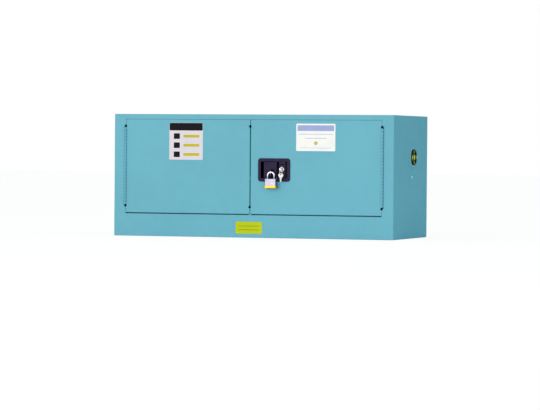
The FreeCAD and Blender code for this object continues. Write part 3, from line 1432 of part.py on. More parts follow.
os.makedirs("parts", exist_ok=True)
for piece in PIECES:
    shape = piece.Shape
    if shape.isNull() or not shape.isValid():
        raise RuntimeError(f"{piece.Label} has no valid shape")
    shape.exportStep(f"parts/{piece.Label}.step")
print(f"{len(PIECES)} pieces written")
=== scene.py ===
"""Looks of the two-door safety cabinet.

Every class below dresses one sub-assembly. Sizes in the fields are in
millimetres, in the frame of the solids: X to the right, Y to the back, Z up.
Meshes are shaped in millimetres and stored in metres.
"""
import json
import logging
import math
from dataclasses import dataclass
from enum import Enum
from functools import lru_cache
from typing import Callable, Dict, List, Optional, Sequence, Tuple, Union

import bmesh
import bpy
from bmesh.types import BMEdge, BMVert
from mathutils import Matrix, Vector


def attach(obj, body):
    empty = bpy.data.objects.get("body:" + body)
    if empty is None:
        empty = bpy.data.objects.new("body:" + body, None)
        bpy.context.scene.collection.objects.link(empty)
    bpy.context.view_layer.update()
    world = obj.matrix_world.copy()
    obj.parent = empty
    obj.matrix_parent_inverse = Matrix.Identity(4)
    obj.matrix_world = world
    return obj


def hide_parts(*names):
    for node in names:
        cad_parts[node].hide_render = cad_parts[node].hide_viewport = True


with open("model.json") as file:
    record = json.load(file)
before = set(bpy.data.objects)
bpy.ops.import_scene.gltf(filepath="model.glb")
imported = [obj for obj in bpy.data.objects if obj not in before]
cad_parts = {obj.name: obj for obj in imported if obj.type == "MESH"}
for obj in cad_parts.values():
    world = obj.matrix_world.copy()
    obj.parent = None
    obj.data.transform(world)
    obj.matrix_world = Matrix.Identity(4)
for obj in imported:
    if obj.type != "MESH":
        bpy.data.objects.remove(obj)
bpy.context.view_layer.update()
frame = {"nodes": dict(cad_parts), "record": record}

MM = 0.001
Colour = Tuple[float, float, float]
Point = Tuple[float, float, float]
Flat = Tuple[float, float]
Box = Tuple[Flat, Flat, Flat]
Socket = bpy.types.NodeSocket

LOG = logging.getLogger("cabinet")


def paint(red: int, green: int, blue: int) -> Colour:
    """Turns a display colour into the linear one that shaders take.

    Args:
        red: Red from 0 to 255.
        green: Green from 0 to 255.
        blue: Blue from 0 to 255.

    Returns:
        The linear colour.
    """
    def linear(level: int) -> float:
        """Returns one channel made linear."""
        share = level / 255
        return share / 12.92 if share <= 0.04045 else ((share + 0.055) / 1.055) ** 2.4

    return linear(red), linear(green), linear(blue)


def shade(colour: Colour, share: float) -> Colour:
    """Returns a colour made darker or brighter by a share."""
    return tuple(min(1.0, level * share) for level in colour)


def wired(tree: bpy.types.NodeTree, kind: str, feeds: Dict, **settings: str) -> bpy.types.Node:
    """Adds a shader node and feeds its inputs.

    Args:
        tree: Node tree that takes it.
        kind: Its type, after the word ShaderNode.
        feeds: Sockets and plain values, by the input's name or number.
        settings: Its other properties.

    Returns:
        The node.
    """
    node = tree.nodes.new(f"ShaderNode{kind}")
    for name, value in settings.items():
        setattr(node, name, value)
    for key, value in feeds.items():
        if isinstance(value, Socket):
            tree.links.new(value, node.inputs[key])
        else:
            node.inputs[key].default_value = value
    return node


def set_up(name: str, data: bpy.types.ID) -> bpy.types.Object:
    """Makes an object of the scene.

    Args:
        name: Its name.
        data: The mesh, lamp or lens that it holds.

    Returns:
        The object.
    """
    made = bpy.data.objects.new(name, data)
    bpy.context.scene.collection.objects.link(made)
    return made


# Finishes

PATTERN_ENDS = (0.3, 0.7)
# Painted shade for the inside of the gaps' end holes.
HOLE_PAINTED_SHADE = (0.004, 0.008, 0.008)
# Painted shade deep in the handle's recesses.
RECESS_PAINTED_SHADE = (0.0015, 0.0015, 0.002)
CHROME_PALE = (0.72, 0.77, 0.86)
JOINT_BLUE = paint(78, 142, 156)
# Painted shade: the greener colour of the middle gap's deep shade.
GAP_SHADE_GREEN = paint(80, 176, 158)


class Recipe:
    """A material under way: its shader and the sockets that feed it."""

    def __init__(self, name: str) -> None:
        """Starts a material with its shader.

        Args:
            name: Name of the material.
        """
        self.material = bpy.data.materials.new(name)
        self.material.use_nodes = True
        self.tree = self.material.node_tree
        self.shader = self.tree.nodes["Principled BSDF"]
        self.place = self.tree.nodes.new("ShaderNodeTexCoord").outputs["Object"]

    def stretched(self, scale: Point) -> Socket:
        """Returns the object's coordinates stretched along each axis."""
        return wired(self.tree, "Mapping", {"Vector": self.place, "Scale": scale}).outputs["Vector"]

    def noise(self, scale: float, detail: float = 3, rough: float = 0.5,
              along: Optional[Socket] = None) -> Socket:
        """Adds a cloudy pattern.

        Args:
            scale: Cells in a metre.
            detail: Octaves.
            rough: Share of each finer octave.
            along: Coordinates to read, or the object's own.

        Returns:
            The pattern from 0 to 1.
        """
        feeds = {"Vector": along or self.place, "Scale": scale, "Detail": detail, "Roughness": rough}
        return wired(self.tree, "TexNoise", feeds).outputs["Fac"]

    def cells(self, scale: float, feature: str = "F1") -> Socket:
        """Returns a pattern of cells, such as zinc crystals."""
        node = wired(self.tree, "TexVoronoi", {"Vector": self.place, "Scale": scale}, feature=feature)
        return node.outputs["Color" if feature == "F1" else "Distance"]

    def ranged(self, value: Socket, source: Flat, target: Flat) -> Socket:
        """Returns a value carried from one range to another."""
        ends = zip(("From Min", "From Max", "To Min", "To Max"), source + target)
        return wired(self.tree, "MapRange", {"Value": value, **dict(ends)}).outputs["Result"]

    def calculated(self, operation: str, *values: Union[Socket, float]) -> Socket:
        """Returns a product, maximum and the like of sockets and numbers."""
        return wired(self.tree, "Math", dict(enumerate(values)), operation=operation).outputs[0]

    def sum(self, first: Socket, second: Socket, share: float) -> Socket:
        """Returns the first pattern with a share of the second added."""
        return self.calculated("MULTIPLY_ADD", second, share, first)

    def axes(self) -> Tuple[Socket, ...]:
        """Returns the object's X, Y and Z."""
        return tuple(wired(self.tree, "SeparateXYZ", {0: self.place}).outputs)

    def tinted(self, value: Socket, colour: Colour, shades: Flat, source: Flat = PATTERN_ENDS) -> None:
        """Colours a pattern between two shades and feeds the shader.

        Args:
            value: The pattern.
            colour: The colour.
            shades: Its brightness at the pattern's low and high end.
            source: Where these ends lie.
        """
        ramp = wired(self.tree, "ValToRGB", {"Fac": value})
        for stop, place, share in zip(ramp.color_ramp.elements, source, shades):
            stop.position = place
            stop.color = (*shade(colour, share), 1)
        self.tree.links.new(ramp.outputs["Color"], self.shader.inputs["Base Color"])

    def overlaid(self, share: Socket, colour: Colour) -> None:
        """Lays a second colour over the shader's own where a share is 1.

        Args:
            share: Share of the second colour.
            colour: The second colour.
        """
        under = self.shader.inputs["Base Color"].links[0].from_socket
        feeds = {"Factor": share, 6: under, 7: (*colour, 1)}
        mix = wired(self.tree, "Mix", feeds, data_type="RGBA")
        self.tree.links.new(mix.outputs[2], self.shader.inputs["Base Color"])

    def within(self, value: Socket, ends: Flat) -> Socket:
        """Returns 1 where a coordinate lies between two levels, else 0."""
        low, high = (level * MM for level in ends)
        return self.calculated("COMPARE", value, (low + high) / 2, (high - low) / 2)

    def boxed(self, box: Box, colour: Colour) -> None:
        """Lays a second colour over the shader's own inside a box.

        Args:
            box: The box's ends along X, Y and Z.
            colour: The second colour.
        """
        share = 1.0
        for value, ends in zip(self.axes(), box):
            share = self.calculated("MULTIPLY", share, self.within(value, ends))
        self.overlaid(share, colour)

    def roughened(self, value: Socket, low: float, high: float) -> None:
        """Feeds the shader's roughness from a pattern."""
        rough = self.ranged(value, PATTERN_ENDS, (low, high))
        self.tree.links.new(rough, self.shader.inputs["Roughness"])

    def bumped(self, height: Socket, depth: float) -> None:
        """Feeds the shader's normal from a pattern as deep as a depth in millimetres."""
        bump = wired(self.tree, "Bump", {"Height": height, "Distance": depth * MM, "Strength": 1.0})
        self.tree.links.new(bump.outputs["Normal"], self.shader.inputs["Normal"])


@dataclass(frozen=True)
class Finish:
    """A finish, and the name of the slot it is meant for."""

    name: str
    colour: Colour
    slot: str = "cabinet_paint"

    def laid(self, recipe: Recipe) -> None:
        """Lays the finish on a material under way."""
        raise NotImplementedError


@dataclass(frozen=True)
class PowderCoat(Finish):
    """Baked powder paint: a faint orange peel and a slightly uneven gloss.

    Holes are the end holes of the gaps, those further out than the middle
    zone on both sides, whose inside takes a painted shade. Joints are the lowest
    joint between two knuckles, their pitch and their width. The middle gap's box takes a greener painted
    shade.
    """

    gloss: float = 0.46
    shine: float = 0.004
    spread: float = 0.045
    clouds: Flat = (2.2, 30)
    dimples: Flat = (420, 1300)
    peel: float = 0.02
    holes: Tuple[Flat, ...] = ()
    hole: float = 5.0
    middle: float = 50
    skin: Flat = (-228.7, -219)
    joints: Optional[Point] = None
    barrel_back: float = -225.3
    gap_shade_box: Optional[Box] = None

    def shaded_holes(self, recipe: Recipe) -> None:
        """Paints shade, nearly black, into the inside of the small end holes of each gap.

        Args:
            recipe: The material under way.
        """
        x, y, z = recipe.axes()
        across = recipe.calculated("ABSOLUTE", x)
        nearest = 1.0
        for place, level in self.holes:
            side = recipe.calculated("SUBTRACT", across if place > self.middle else x, place * MM)
            rise = recipe.calculated("SUBTRACT", z, level * MM)
            square = recipe.calculated("MULTIPLY", rise, rise)
            square = recipe.calculated("MULTIPLY_ADD", side, side, square)
            nearest = recipe.calculated("MINIMUM", nearest, square)
        # Painted shade: the inside of each end hole is laid nearly black.
        inside = recipe.calculated("LESS_THAN", nearest, (self.hole * MM) ** 2)
        share = recipe.calculated("MULTIPLY", inside, recipe.within(y, self.skin))
        recipe.overlaid(share, HOLE_PAINTED_SHADE)

    def shaded_joints(self, recipe: Recipe) -> None:
        """Darkens a narrow band at each joint between two knuckles.

        Args:
            recipe: The material under way.
        """
        low, pitch, width = (size * MM for size in self.joints)
        _, y, z = recipe.axes()
        along = recipe.calculated("MODULO", recipe.calculated("SUBTRACT", z, low - width / 2), pitch)
        joint = recipe.calculated("LESS_THAN", along, width)
        barrel = recipe.calculated("LESS_THAN", y, self.barrel_back * MM)
        recipe.overlaid(recipe.calculated("MULTIPLY", joint, barrel), JOINT_BLUE)

    def laid(self, recipe: Recipe) -> None:
        """Lays the finish on a material under way.

        Args:
            recipe: The material.
        """
        recipe.shader.inputs["Specular IOR Level"].default_value = self.shine
        broad = recipe.sum(recipe.noise(self.clouds[0], 4), recipe.noise(self.clouds[1], 3), 0.35)
        recipe.tinted(broad, self.colour, (1 - self.spread, 1 + self.spread), (0.45, 0.85))
        recipe.roughened(recipe.noise(9, 5), self.gloss - 0.03, self.gloss + 0.05)
        fine = recipe.sum(recipe.noise(self.dimples[0], 2), recipe.noise(self.dimples[1], 1), 0.3)
        recipe.bumped(fine, self.peel)
        if self.joints:
            self.shaded_joints(recipe)
        # Painted shade: a greener colour inside the middle gap's box.
        if self.gap_shade_box:
            recipe.boxed(self.gap_shade_box, GAP_SHADE_GREEN)
        if self.holes:
            self.shaded_holes(recipe)


@dataclass(frozen=True)
class Moulding(Finish):
    """Moulded plastic or rubber with a fine grain.

    The recess gives the levels between which shade is painted in, darker towards the back.
    """

    gloss: float = 0.42
    shine: float = 0.08
    grain: float = 1400
    depth: float = 0.018
    recess: Optional[Flat] = None

    def laid(self, recipe: Recipe) -> None:
        """Lays the finish on a material under way.

        Args:
            recipe: The material.
        """
        recipe.shader.inputs["Specular IOR Level"].default_value = self.shine
        cloud = recipe.noise(60, 4)
        recipe.tinted(cloud, self.colour, (0.8, 1.25))
        recipe.roughened(recipe.noise(180, 3), self.gloss - 0.05, self.gloss + 0.08)
        recipe.bumped(recipe.sum(recipe.cells(self.grain, "DISTANCE_TO_EDGE"), cloud, 0.4), self.depth)
        # Painted shade: darker, to near black, the deeper a face lies in the recess.
        if self.recess:
            front, deep = (level * MM for level in self.recess)
            share = recipe.ranged(recipe.axes()[1], (front, deep), (0, 1))
            recipe.overlaid(share, RECESS_PAINTED_SHADE)


@dataclass(frozen=True)
class Metal(Finish):
    """Plated or bare metal with fine draw lines and faint staining.

    Shade levels give where painted shade darkens it downwards. The highlight
    box is where a pale painted highlight is laid.
    """

    gloss: float = 0.25
    lines: Point = (40, 40, 900)
    depth: float = 0.006
    stain: float = 0.12
    painted_shade_below: Optional[Flat] = None
    painted_highlight: Optional[Box] = None

    def laid(self, recipe: Recipe) -> None:
        """Lays the finish on a material under way.

        Args:
            recipe: The material.
        """
        recipe.shader.inputs["Metallic"].default_value = 1.0
        drawn = recipe.noise(1, 3, 0.6, recipe.stretched(self.lines))
        both = recipe.sum(recipe.noise(45, 4), drawn, 0.3)
        recipe.tinted(both, self.colour, (1 - self.stain, 1 + self.stain / 2), (0.4, 0.85))
        recipe.roughened(both, self.gloss * 0.75, self.gloss * 1.35)
        recipe.bumped(drawn, self.depth)
        # Painted shade: darker towards the bottom.
        if self.painted_shade_below:
            bright, shaded_level = (level * MM for level in self.painted_shade_below)
            share = recipe.ranged(recipe.axes()[2], (shaded_level, bright), (0.8, 0))
            recipe.overlaid(share, shade(self.colour, 0.12))
        # Painted highlight: a pale chrome colour laid in a box.
        if self.painted_highlight:
            recipe.boxed(self.painted_highlight, CHROME_PALE)


@dataclass(frozen=True)
class Galvanised(Finish):
    """Zinc-coated sheet with its crystals."""

    crystal: float = 70
    gloss: Flat = (0.32, 0.5)
    depth: float = 0.012

    def laid(self, recipe: Recipe) -> None:
        """Lays the finish on a material under way.

        Args:
            recipe: The material.
        """
        recipe.shader.inputs["Metallic"].default_value = 1.0
        tone = wired(recipe.tree, "RGBToBW", {"Color": recipe.cells(self.crystal)})
        crystals = recipe.sum(tone.outputs["Val"], recipe.noise(220, 3), 0.35)
        recipe.tinted(crystals, self.colour, (0.82, 1), (0.25, 0.95))
        recipe.roughened(crystals, *self.gloss)
        recipe.bumped(recipe.noise(300, 4), self.depth)


@dataclass(frozen=True)
class Print(Finish):
    """Printed vinyl film with a light satin and a trace of its grain."""

    gloss: float = 0.38
    shine: float = 0.04
    depth: float = 0.004

    def laid(self, recipe: Recipe) -> None:
        """Lays the finish on a material under way.

        Args:
            recipe: The material.
        """
        recipe.shader.inputs["Specular IOR Level"].default_value = self.shine
        cloud = recipe.sum(recipe.noise(25, 4), recipe.noise(400, 2), 0.3)
        recipe.tinted(cloud, self.colour, (0.95, 1.03), (0.4, 0.9))
        recipe.roughened(cloud, self.gloss - 0.04, self.gloss + 0.06)
        recipe.bumped(recipe.noise(700, 2), self.depth)


BLUE = paint(113, 182, 201)
GAP_ENDS = ((500.9, 113.5), (500.9, 412.5), (-8.1, 113.5), (-8.1, 412.5))
MIDDLE_GAP = ((-9.6, -4.4), (-228.1, -212), (98, 430))
# The cabinet paint takes painted shade in the gaps' end holes and in the middle gap.
CABINET = PowderCoat("CabinetBlue", BLUE, holes=GAP_ENDS, gap_shade_box=MIDDLE_GAP)
# Painted shade: the closing strip, seen only deep in the middle gap, is painted a greener blue for the gap's
# shade.
GAP_SHADE_BLUE = PowderCoat("GapShadeBlue", paint(98, 190, 178))
HINGE = PowderCoat("HingeBlue", BLUE, holes=GAP_ENDS, joints=(118.3, 12.058, 1.8))
# Painted highlight: the collar is painted a lighter blue than the wall, for the light on its rim.
COLLAR_HIGHLIGHT = PowderCoat("CollarHighlightBlue", paint(150, 212, 232), gloss=0.36)
LINING = PowderCoat("LiningBlue", BLUE, "liner_paint", gloss=0.5)
# Painted shade: the handle goes near black deeper in its recess.
HANDLE = Moulding("HandleBlack", (0.022, 0.016, 0.050), "handle_black", gloss=0.4, recess=(-230.0, -226.5))
# Painted highlight: the eye's front rim, where it crosses the shackle's crown, is painted the crown's pale
# chrome.
EYE_RIM_HIGHLIGHT = ((0, 200), (-300, -247.6), (240.1, 247.3))
BLACKENED = Metal("EyeBlackZinc", (0.06, 0.055, 0.075), "black_zinc", gloss=0.34, painted_highlight=EYE_RIM_HIGHLIGHT)
ZINC = Galvanised("LatchZinc", (0.66, 0.68, 0.70), "zinc_steel")
CHROME = Metal("LockChrome", (0.42, 0.42, 0.48), "polished_chrome", gloss=0.10, depth=0.002, stain=0.06)
WORN = Metal("LockKeySteel", (0.36, 0.36, 0.41), "key_nickel", gloss=0.3)
NICKEL = Metal("KeyNickel", (0.93, 0.93, 0.91), "key_nickel", gloss=0.2)
SPRING = Metal("SpringSteel", (0.42, 0.43, 0.45), "spring_steel", gloss=0.28)
PLATES = Metal("PadlockPlates", (0.37, 0.40, 0.53), "padlock_steel", gloss=0.36, lines=(30, 30, 1500))
# Painted shade: the shackle's legs darken below the eye.
SHACKLE = Metal("PadlockChrome", CHROME_PALE, "polished_chrome", gloss=0.16, depth=0.002, stain=0.1,
                painted_shade_below=(236, 226))
GOLD = Metal("PadlockGold", (0.72, 0.37, 0.05), "padlock_brass", gloss=0.24)
BUNG = Moulding("BungOlive", (0.012, 0.020, 0.003), "plug_metal", gloss=0.35)
# Painted highlight: a bright glint and a dimmer band of sheen on the bung's face.
BUNG_PAINTED_GLINT = Metal("BungPaintedGlint", (0.60, 0.76, 0.10), "plug_metal", gloss=0.22, lines=(900, 60, 60), stain=0.45)
BUNG_PAINTED_SHEEN = Metal("BungPaintedSheen", (0.13, 0.19, 0.012), "plug_metal", gloss=0.3, lines=(900, 60, 60),
                    stain=0.6)
EARTH = Metal("EarthScrewZinc", (0.45, 0.76, 0.86), "zinc_steel", gloss=0.34)
# Painted shade: the latch rods are near black, so where they cross the gaps they read as the gaps' shade.
RODS_PAINTED_SHADE = Metal("RodSteel", (0.13, 0.15, 0.16), "zinc_steel", gloss=0.4, lines=(300, 300, 20))
SCREEN = Metal("ScreenSteel", (0.45, 0.46, 0.48), "screen_steel", gloss=0.4)
GASKET = Moulding("GasketRubber", (0.022, 0.022, 0.023), "gasket_rubber", gloss=0.7)
REST = Moulding("RestNylon", paint(110, 176, 206), "rest_plastic", gloss=0.5)


@lru_cache(maxsize=None)
def material(finish: Finish) -> bpy.types.Material:
    """Makes a finish's material once.

    Args:
        finish: The finish.

    Returns:
        The material.
    """
    recipe = Recipe(finish.name)
    finish.laid(recipe)
    return recipe.material


# Forms

NODE_MERGE = 2e-3
NODE_FLAT = math.radians(0.4)
PLATE_FLAT = 0.01
NEAR = 1e-4


class Facing(Enum):
    """Where a form's own Z points once it is placed: columns of its turn."""

    FRONT = ((1, 0, 0), (0, 0, 1), (0, -1, 0))
    RIGHT = ((0, 1, 0), (0, 0, 1), (1, 0, 0))
    LEFT = ((0, -1, 0), (0, 0, 1), (-1, 0, 0))

    def turn(self, place: Point = (0, 0, 0)) -> Matrix:
        """Returns the matrix that turns a form this way and sets it down."""
        return Matrix.Translation(Vector(place)) @ Matrix(self.value).transposed().to_4x4()


def of_kind(items: Sequence, kind: type) -> List:
    """Returns the items of one kind."""
    return [item for item in items if isinstance(item, kind)]


def circle(radius: float, step: float, at: Flat = (0, 0)) -> List[Flat]:
    """Returns the points of a circle, a step of some degrees apart."""
    turns = [math.radians(step * count) for count in range(round(360 / step))]
    return [(at[0] + radius * math.cos(turn), at[1] + radius * math.sin(turn)) for turn in turns]


def threaded(start: float, end: float, radius: float, pitch: float, reach: float) -> List[Flat]:
    """Lists the points of a thread's profile.

    Args:
        start: Level where it starts.
        end: Level that it stays short of.
        radius: Radius of its lands.
        pitch: Its pitch.
        reach: How far its grooves reach out from the lands.

    Returns:
        The points of (radius, height).
    """
    points, step = [], math.copysign(pitch, end - start)
    while abs(end - start) > pitch:
        points += [(radius, start), (radius + reach, start + step / 2)]
        start += step
    return points + [(radius, start)]


class Form:
    """A mesh under way, in millimetres."""

    def __init__(self) -> None:
        """Starts an empty form."""
        self.bm = bmesh.new()

    @classmethod
    def of_node(cls, node: str) -> "Form":
        """Copies a node's solid and merges its loose triangles.

        Args:
            node: Name of the node.

        Returns:
            The copy.
        """
        form = cls()
        form.bm.from_mesh(frame["nodes"][node].data)
        bmesh.ops.scale(form.bm, vec=(1 / MM, 1 / MM, 1 / MM), verts=form.bm.verts[:])
        bmesh.ops.remove_doubles(form.bm, verts=form.bm.verts[:], dist=NODE_MERGE)
        bmesh.ops.dissolve_limit(form.bm, angle_limit=NODE_FLAT, verts=form.bm.verts[:],
                                 edges=form.bm.edges[:])
        return form.coated(0)

    @classmethod
    def outline(cls, corners: Sequence[Flat], holes: Sequence[Sequence[Flat]] = ()) -> "Form":
        """Makes a flat plate with holes.

        Args:
            corners: Corners of its edge, in order.
            holes: Corners of each hole.

        Returns:
            The plate in its own XY plane.
        """
        form = cls()
        edges = []
        for loop in (corners, *holes):
            verts = [form.bm.verts.new((*corner, 0)) for corner in loop]
            edges += [form.bm.edges.new(pair) for pair in zip(verts, verts[1:] + verts[:1])]
        if holes:
            bmesh.ops.triangle_fill(form.bm, use_beauty=True, edges=edges, normal=(0, 0, 1))
            bmesh.ops.dissolve_limit(form.bm, angle_limit=PLATE_FLAT, verts=form.bm.verts[:],
                                     edges=form.bm.edges[:])
        else:
            form.bm.faces.new([edge.verts[0] for edge in edges])
        return form

    @classmethod
    def panel(cls, low: Flat, high: Flat, corner: float = 0, steps: int = 6) -> "Form":
        """Makes a flat rectangle.

        Args:
            low: Its lowest corner.
            high: Its highest corner.
            corner: Radius of its corners.
            steps: Their segments.

        Returns:
            The rectangle in its own XY plane.
        """
        form = cls.outline([low, (high[0], low[1]), high, (low[0], high[1])])
        return form.rounded(corner, steps) if corner else form

    @classmethod
    def turned(cls, profile: Sequence[Flat], sides: int = 64, closed: bool = False) -> "Form":
        """Spins a profile about its own Z axis.

        Args:
            profile: Points of (radius, height).
            sides: Steps of the spin.
            closed: Whether the last point joins the first.

        Returns:
            The turned form.
        """
        form = cls()
        verts = [form.bm.verts.new((radius, 0, height)) for radius, height in profile]
        pairs = list(zip(verts, verts[1:])) + ([(verts[-1], verts[0])] if closed else [])
        edges = [form.bm.edges.new(pair) for pair in pairs]
        bmesh.ops.spin(form.bm, geom=verts + edges, cent=(0, 0, 0), axis=(0, 0, 1), angle=2 * math.pi,
                       steps=sides, use_merge=True)
        bmesh.ops.remove_doubles(form.bm, verts=form.bm.verts[:], dist=NEAR)
        bmesh.ops.recalc_face_normals(form.bm, faces=form.bm.faces[:])
        return form

    def rounded(self, radius: float, steps: int) -> "Form":
        """Rounds the corners of a flat plate.

        Args:
            radius: Radius of the corners.
            steps: Their segments.

        Returns:
            The form itself.
        """
        bmesh.ops.bevel(self.bm, geom=self.bm.verts[:], offset=radius, segments=steps, profile=0.5,
                        affect="VERTICES", material=-1)
        return self

    def raised(self, height: float) -> "Form":
        """Extrudes a flat plate along its own Z and closes it.

        Args:
            height: Height along Z.

        Returns:
            The form itself.
        """
        grown = bmesh.ops.extrude_face_region(self.bm, geom=self.bm.faces[:])
        bmesh.ops.translate(self.bm, verts=of_kind(grown["geom"], BMVert), vec=(0, 0, height))
        bmesh.ops.recalc_face_normals(self.bm, faces=self.bm.faces[:])
        return self

    def softened(self, width: float, steps: int = 2, least: float = 30, clamped: bool = True) -> "Form":
        """Bevels the edges that turn by more than an angle.

        Args:
            width: Width of the bevel.
            steps: Its segments.
            least: Smallest turn in degrees.
            clamped: Whether bevels that would meet get narrower.

        Returns:
            The form itself.
        """
        least_turn = math.radians(least)
        chosen = [edge for edge in self.bm.edges
                  if len(edge.link_faces) == 2 and edge.calc_face_angle(0) >= least_turn]
        bmesh.ops.bevel(self.bm, geom=chosen, offset=width, segments=steps, profile=0.5, affect="EDGES",
                        clamp_overlap=clamped, material=-1)
        return self

    def placed(self, matrix: Matrix) -> "Form":
        """Moves the form by a matrix and returns it."""
        bmesh.ops.transform(self.bm, matrix=matrix, verts=self.bm.verts[:])
        return self

    def moved(self, *step: float) -> "Form":
        """Shifts the form and returns it."""
        return self.placed(Matrix.Translation(step))

    def coated(self, index: int, where: Optional[Callable[[Vector], bool]] = None) -> "Form":
        """Gives faces the finish of an index.

        Args:
            index: Place of the finish among the piece's own.
            where: Test of a face's middle, or none for all faces.

        Returns:
            The form itself.
        """
        for face in self.bm.faces:
            if where is None or where(face.calc_center_median()):
                face.material_index = index
        return self

    def joined(self, *others: "Form") -> "Form":
        """Takes other forms in.

        Args:
            others: The forms, used up here.

        Returns:
            The form itself.
        """
        for other in others:
            carrier = bpy.data.meshes.new("carrier")
            other.bm.to_mesh(carrier)
            self.bm.from_mesh(carrier)
            bpy.data.meshes.remove(carrier)
            other.bm.free()
        return self

    def piece(self, name: str, body: str, *finishes: Finish, replaces: Sequence[str] = (),
              sharp: float = 40) -> bpy.types.Object:
        """Ends the form as an object of the scene.

        Args:
            name: Name of the piece.
            body: Body that it rides on.
            finishes: Its finishes, by index.
            replaces: Nodes that it stands for.
            sharp: Angle in degrees above which an edge stays sharp.

        Returns:
            The object.
        """
        bmesh.ops.scale(self.bm, vec=(MM, MM, MM), verts=self.bm.verts[:])
        mesh = bpy.data.meshes.new(name)
        self.bm.to_mesh(mesh)
        self.bm.free()
        for polygon in mesh.polygons:
            polygon.use_smooth = True
        mesh.set_sharp_from_angle(angle=math.radians(sharp))
        for finish in finishes:
            mesh.materials.append(material(finish))
        made = set_up(name, mesh)
        flat = made.modifiers.new("FlatFaces", "WEIGHTED_NORMAL")
        flat.keep_sharp = True
        flat.weight = 100
        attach(made, body)
        if replaces:
            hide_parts(*replaces)
        LOG.info("%s: %d faces on %s", name, len(mesh.polygons), body)
        return made


# Sheet metal


def body_of(node: str) -> str:
    """Returns the name of the body that a node belongs to."""
    bodies = frame["record"]["behaviour"]["bodies"]
    return next(body for body, nodes in bodies.items() if node in nodes)


@dataclass(frozen=True)
class Pressed:
    """A node whose solid is kept, with its edges eased as a press or a file leaves them."""

    node: str
    finish: Finish
    edge: float
    steps: int = 2
    least: float = 40
    sharp: float = 35

    def build(self) -> None:
        """Makes the eased copy, which stands for the node."""
        form = Form.of_node(self.node)
        if self.edge:
            form.softened(self.edge, self.steps, self.least, clamped=False)
        name = "".join(word.capitalize() for word in self.node.split("_"))
        form.piece(name, body_of(self.node), self.finish, replaces=[self.node], sharp=self.sharp)


def pressings() -> List[Pressed]:
    """Lists the nodes of folded sheet, plate and wire.

    Returns:
        The nodes, by finish and width of the eased edge.
    """
    groups = (
        (CABINET, 0.3, "outer_shell back_panel door_frame left_door_skin right_door_skin"),
        (HINGE, 0.4, "left_hinge_door_leaf left_hinge_frame_leaf"),
        (HINGE, 0.4, "right_hinge_door_leaf right_hinge_frame_leaf"),
        # The closing strip takes the greener painted shade of the gap.
        (GAP_SHADE_BLUE, 0.3, "closing_strip"),
        (LINING, 0.3, "inner_liner left_door_liner right_door_liner"),
        (LINING, 0.25, "latch_cover"),
        (ZINC, 0.4, "left_hinge_pin right_hinge_pin"),
        (ZINC, 0.3, "keeper_top keeper_bottom strike_plate latch_rotor rotor_pivot handle_pin"),
        (ZINC, 0.3, "lock_nut ground_nut"),
        (ZINC, 0.25, "shelf_hangers spill_shelf rod_guides handle_nuts"),
        (ZINC, 0.2, "shelf_standards lock_cam"),
        (ZINC, 0, "cover_screws"),
        (HANDLE, 0.35, "handle_housing"),
        (HANDLE, 0.3, "handle_paddle"),
        (BLACKENED, 0.9, "padlock_eye"),
        # The rods take the near-black painted shade.
        (RODS_PAINTED_SHADE, 0.4, "top_rod bottom_rod centre_bolt"),
        (REST, 0, "door_rest"),
        (SPRING, 0, "handle_spring"),
        (SCREEN, 0, "right_vent_screen left_vent_screen"),
        (GASKET, 0.2, "right_vent_gasket left_vent_gasket"),
    )
    return [Pressed(node, finish, edge) for finish, edge, nodes in groups for node in nodes.split()]


# Padlock


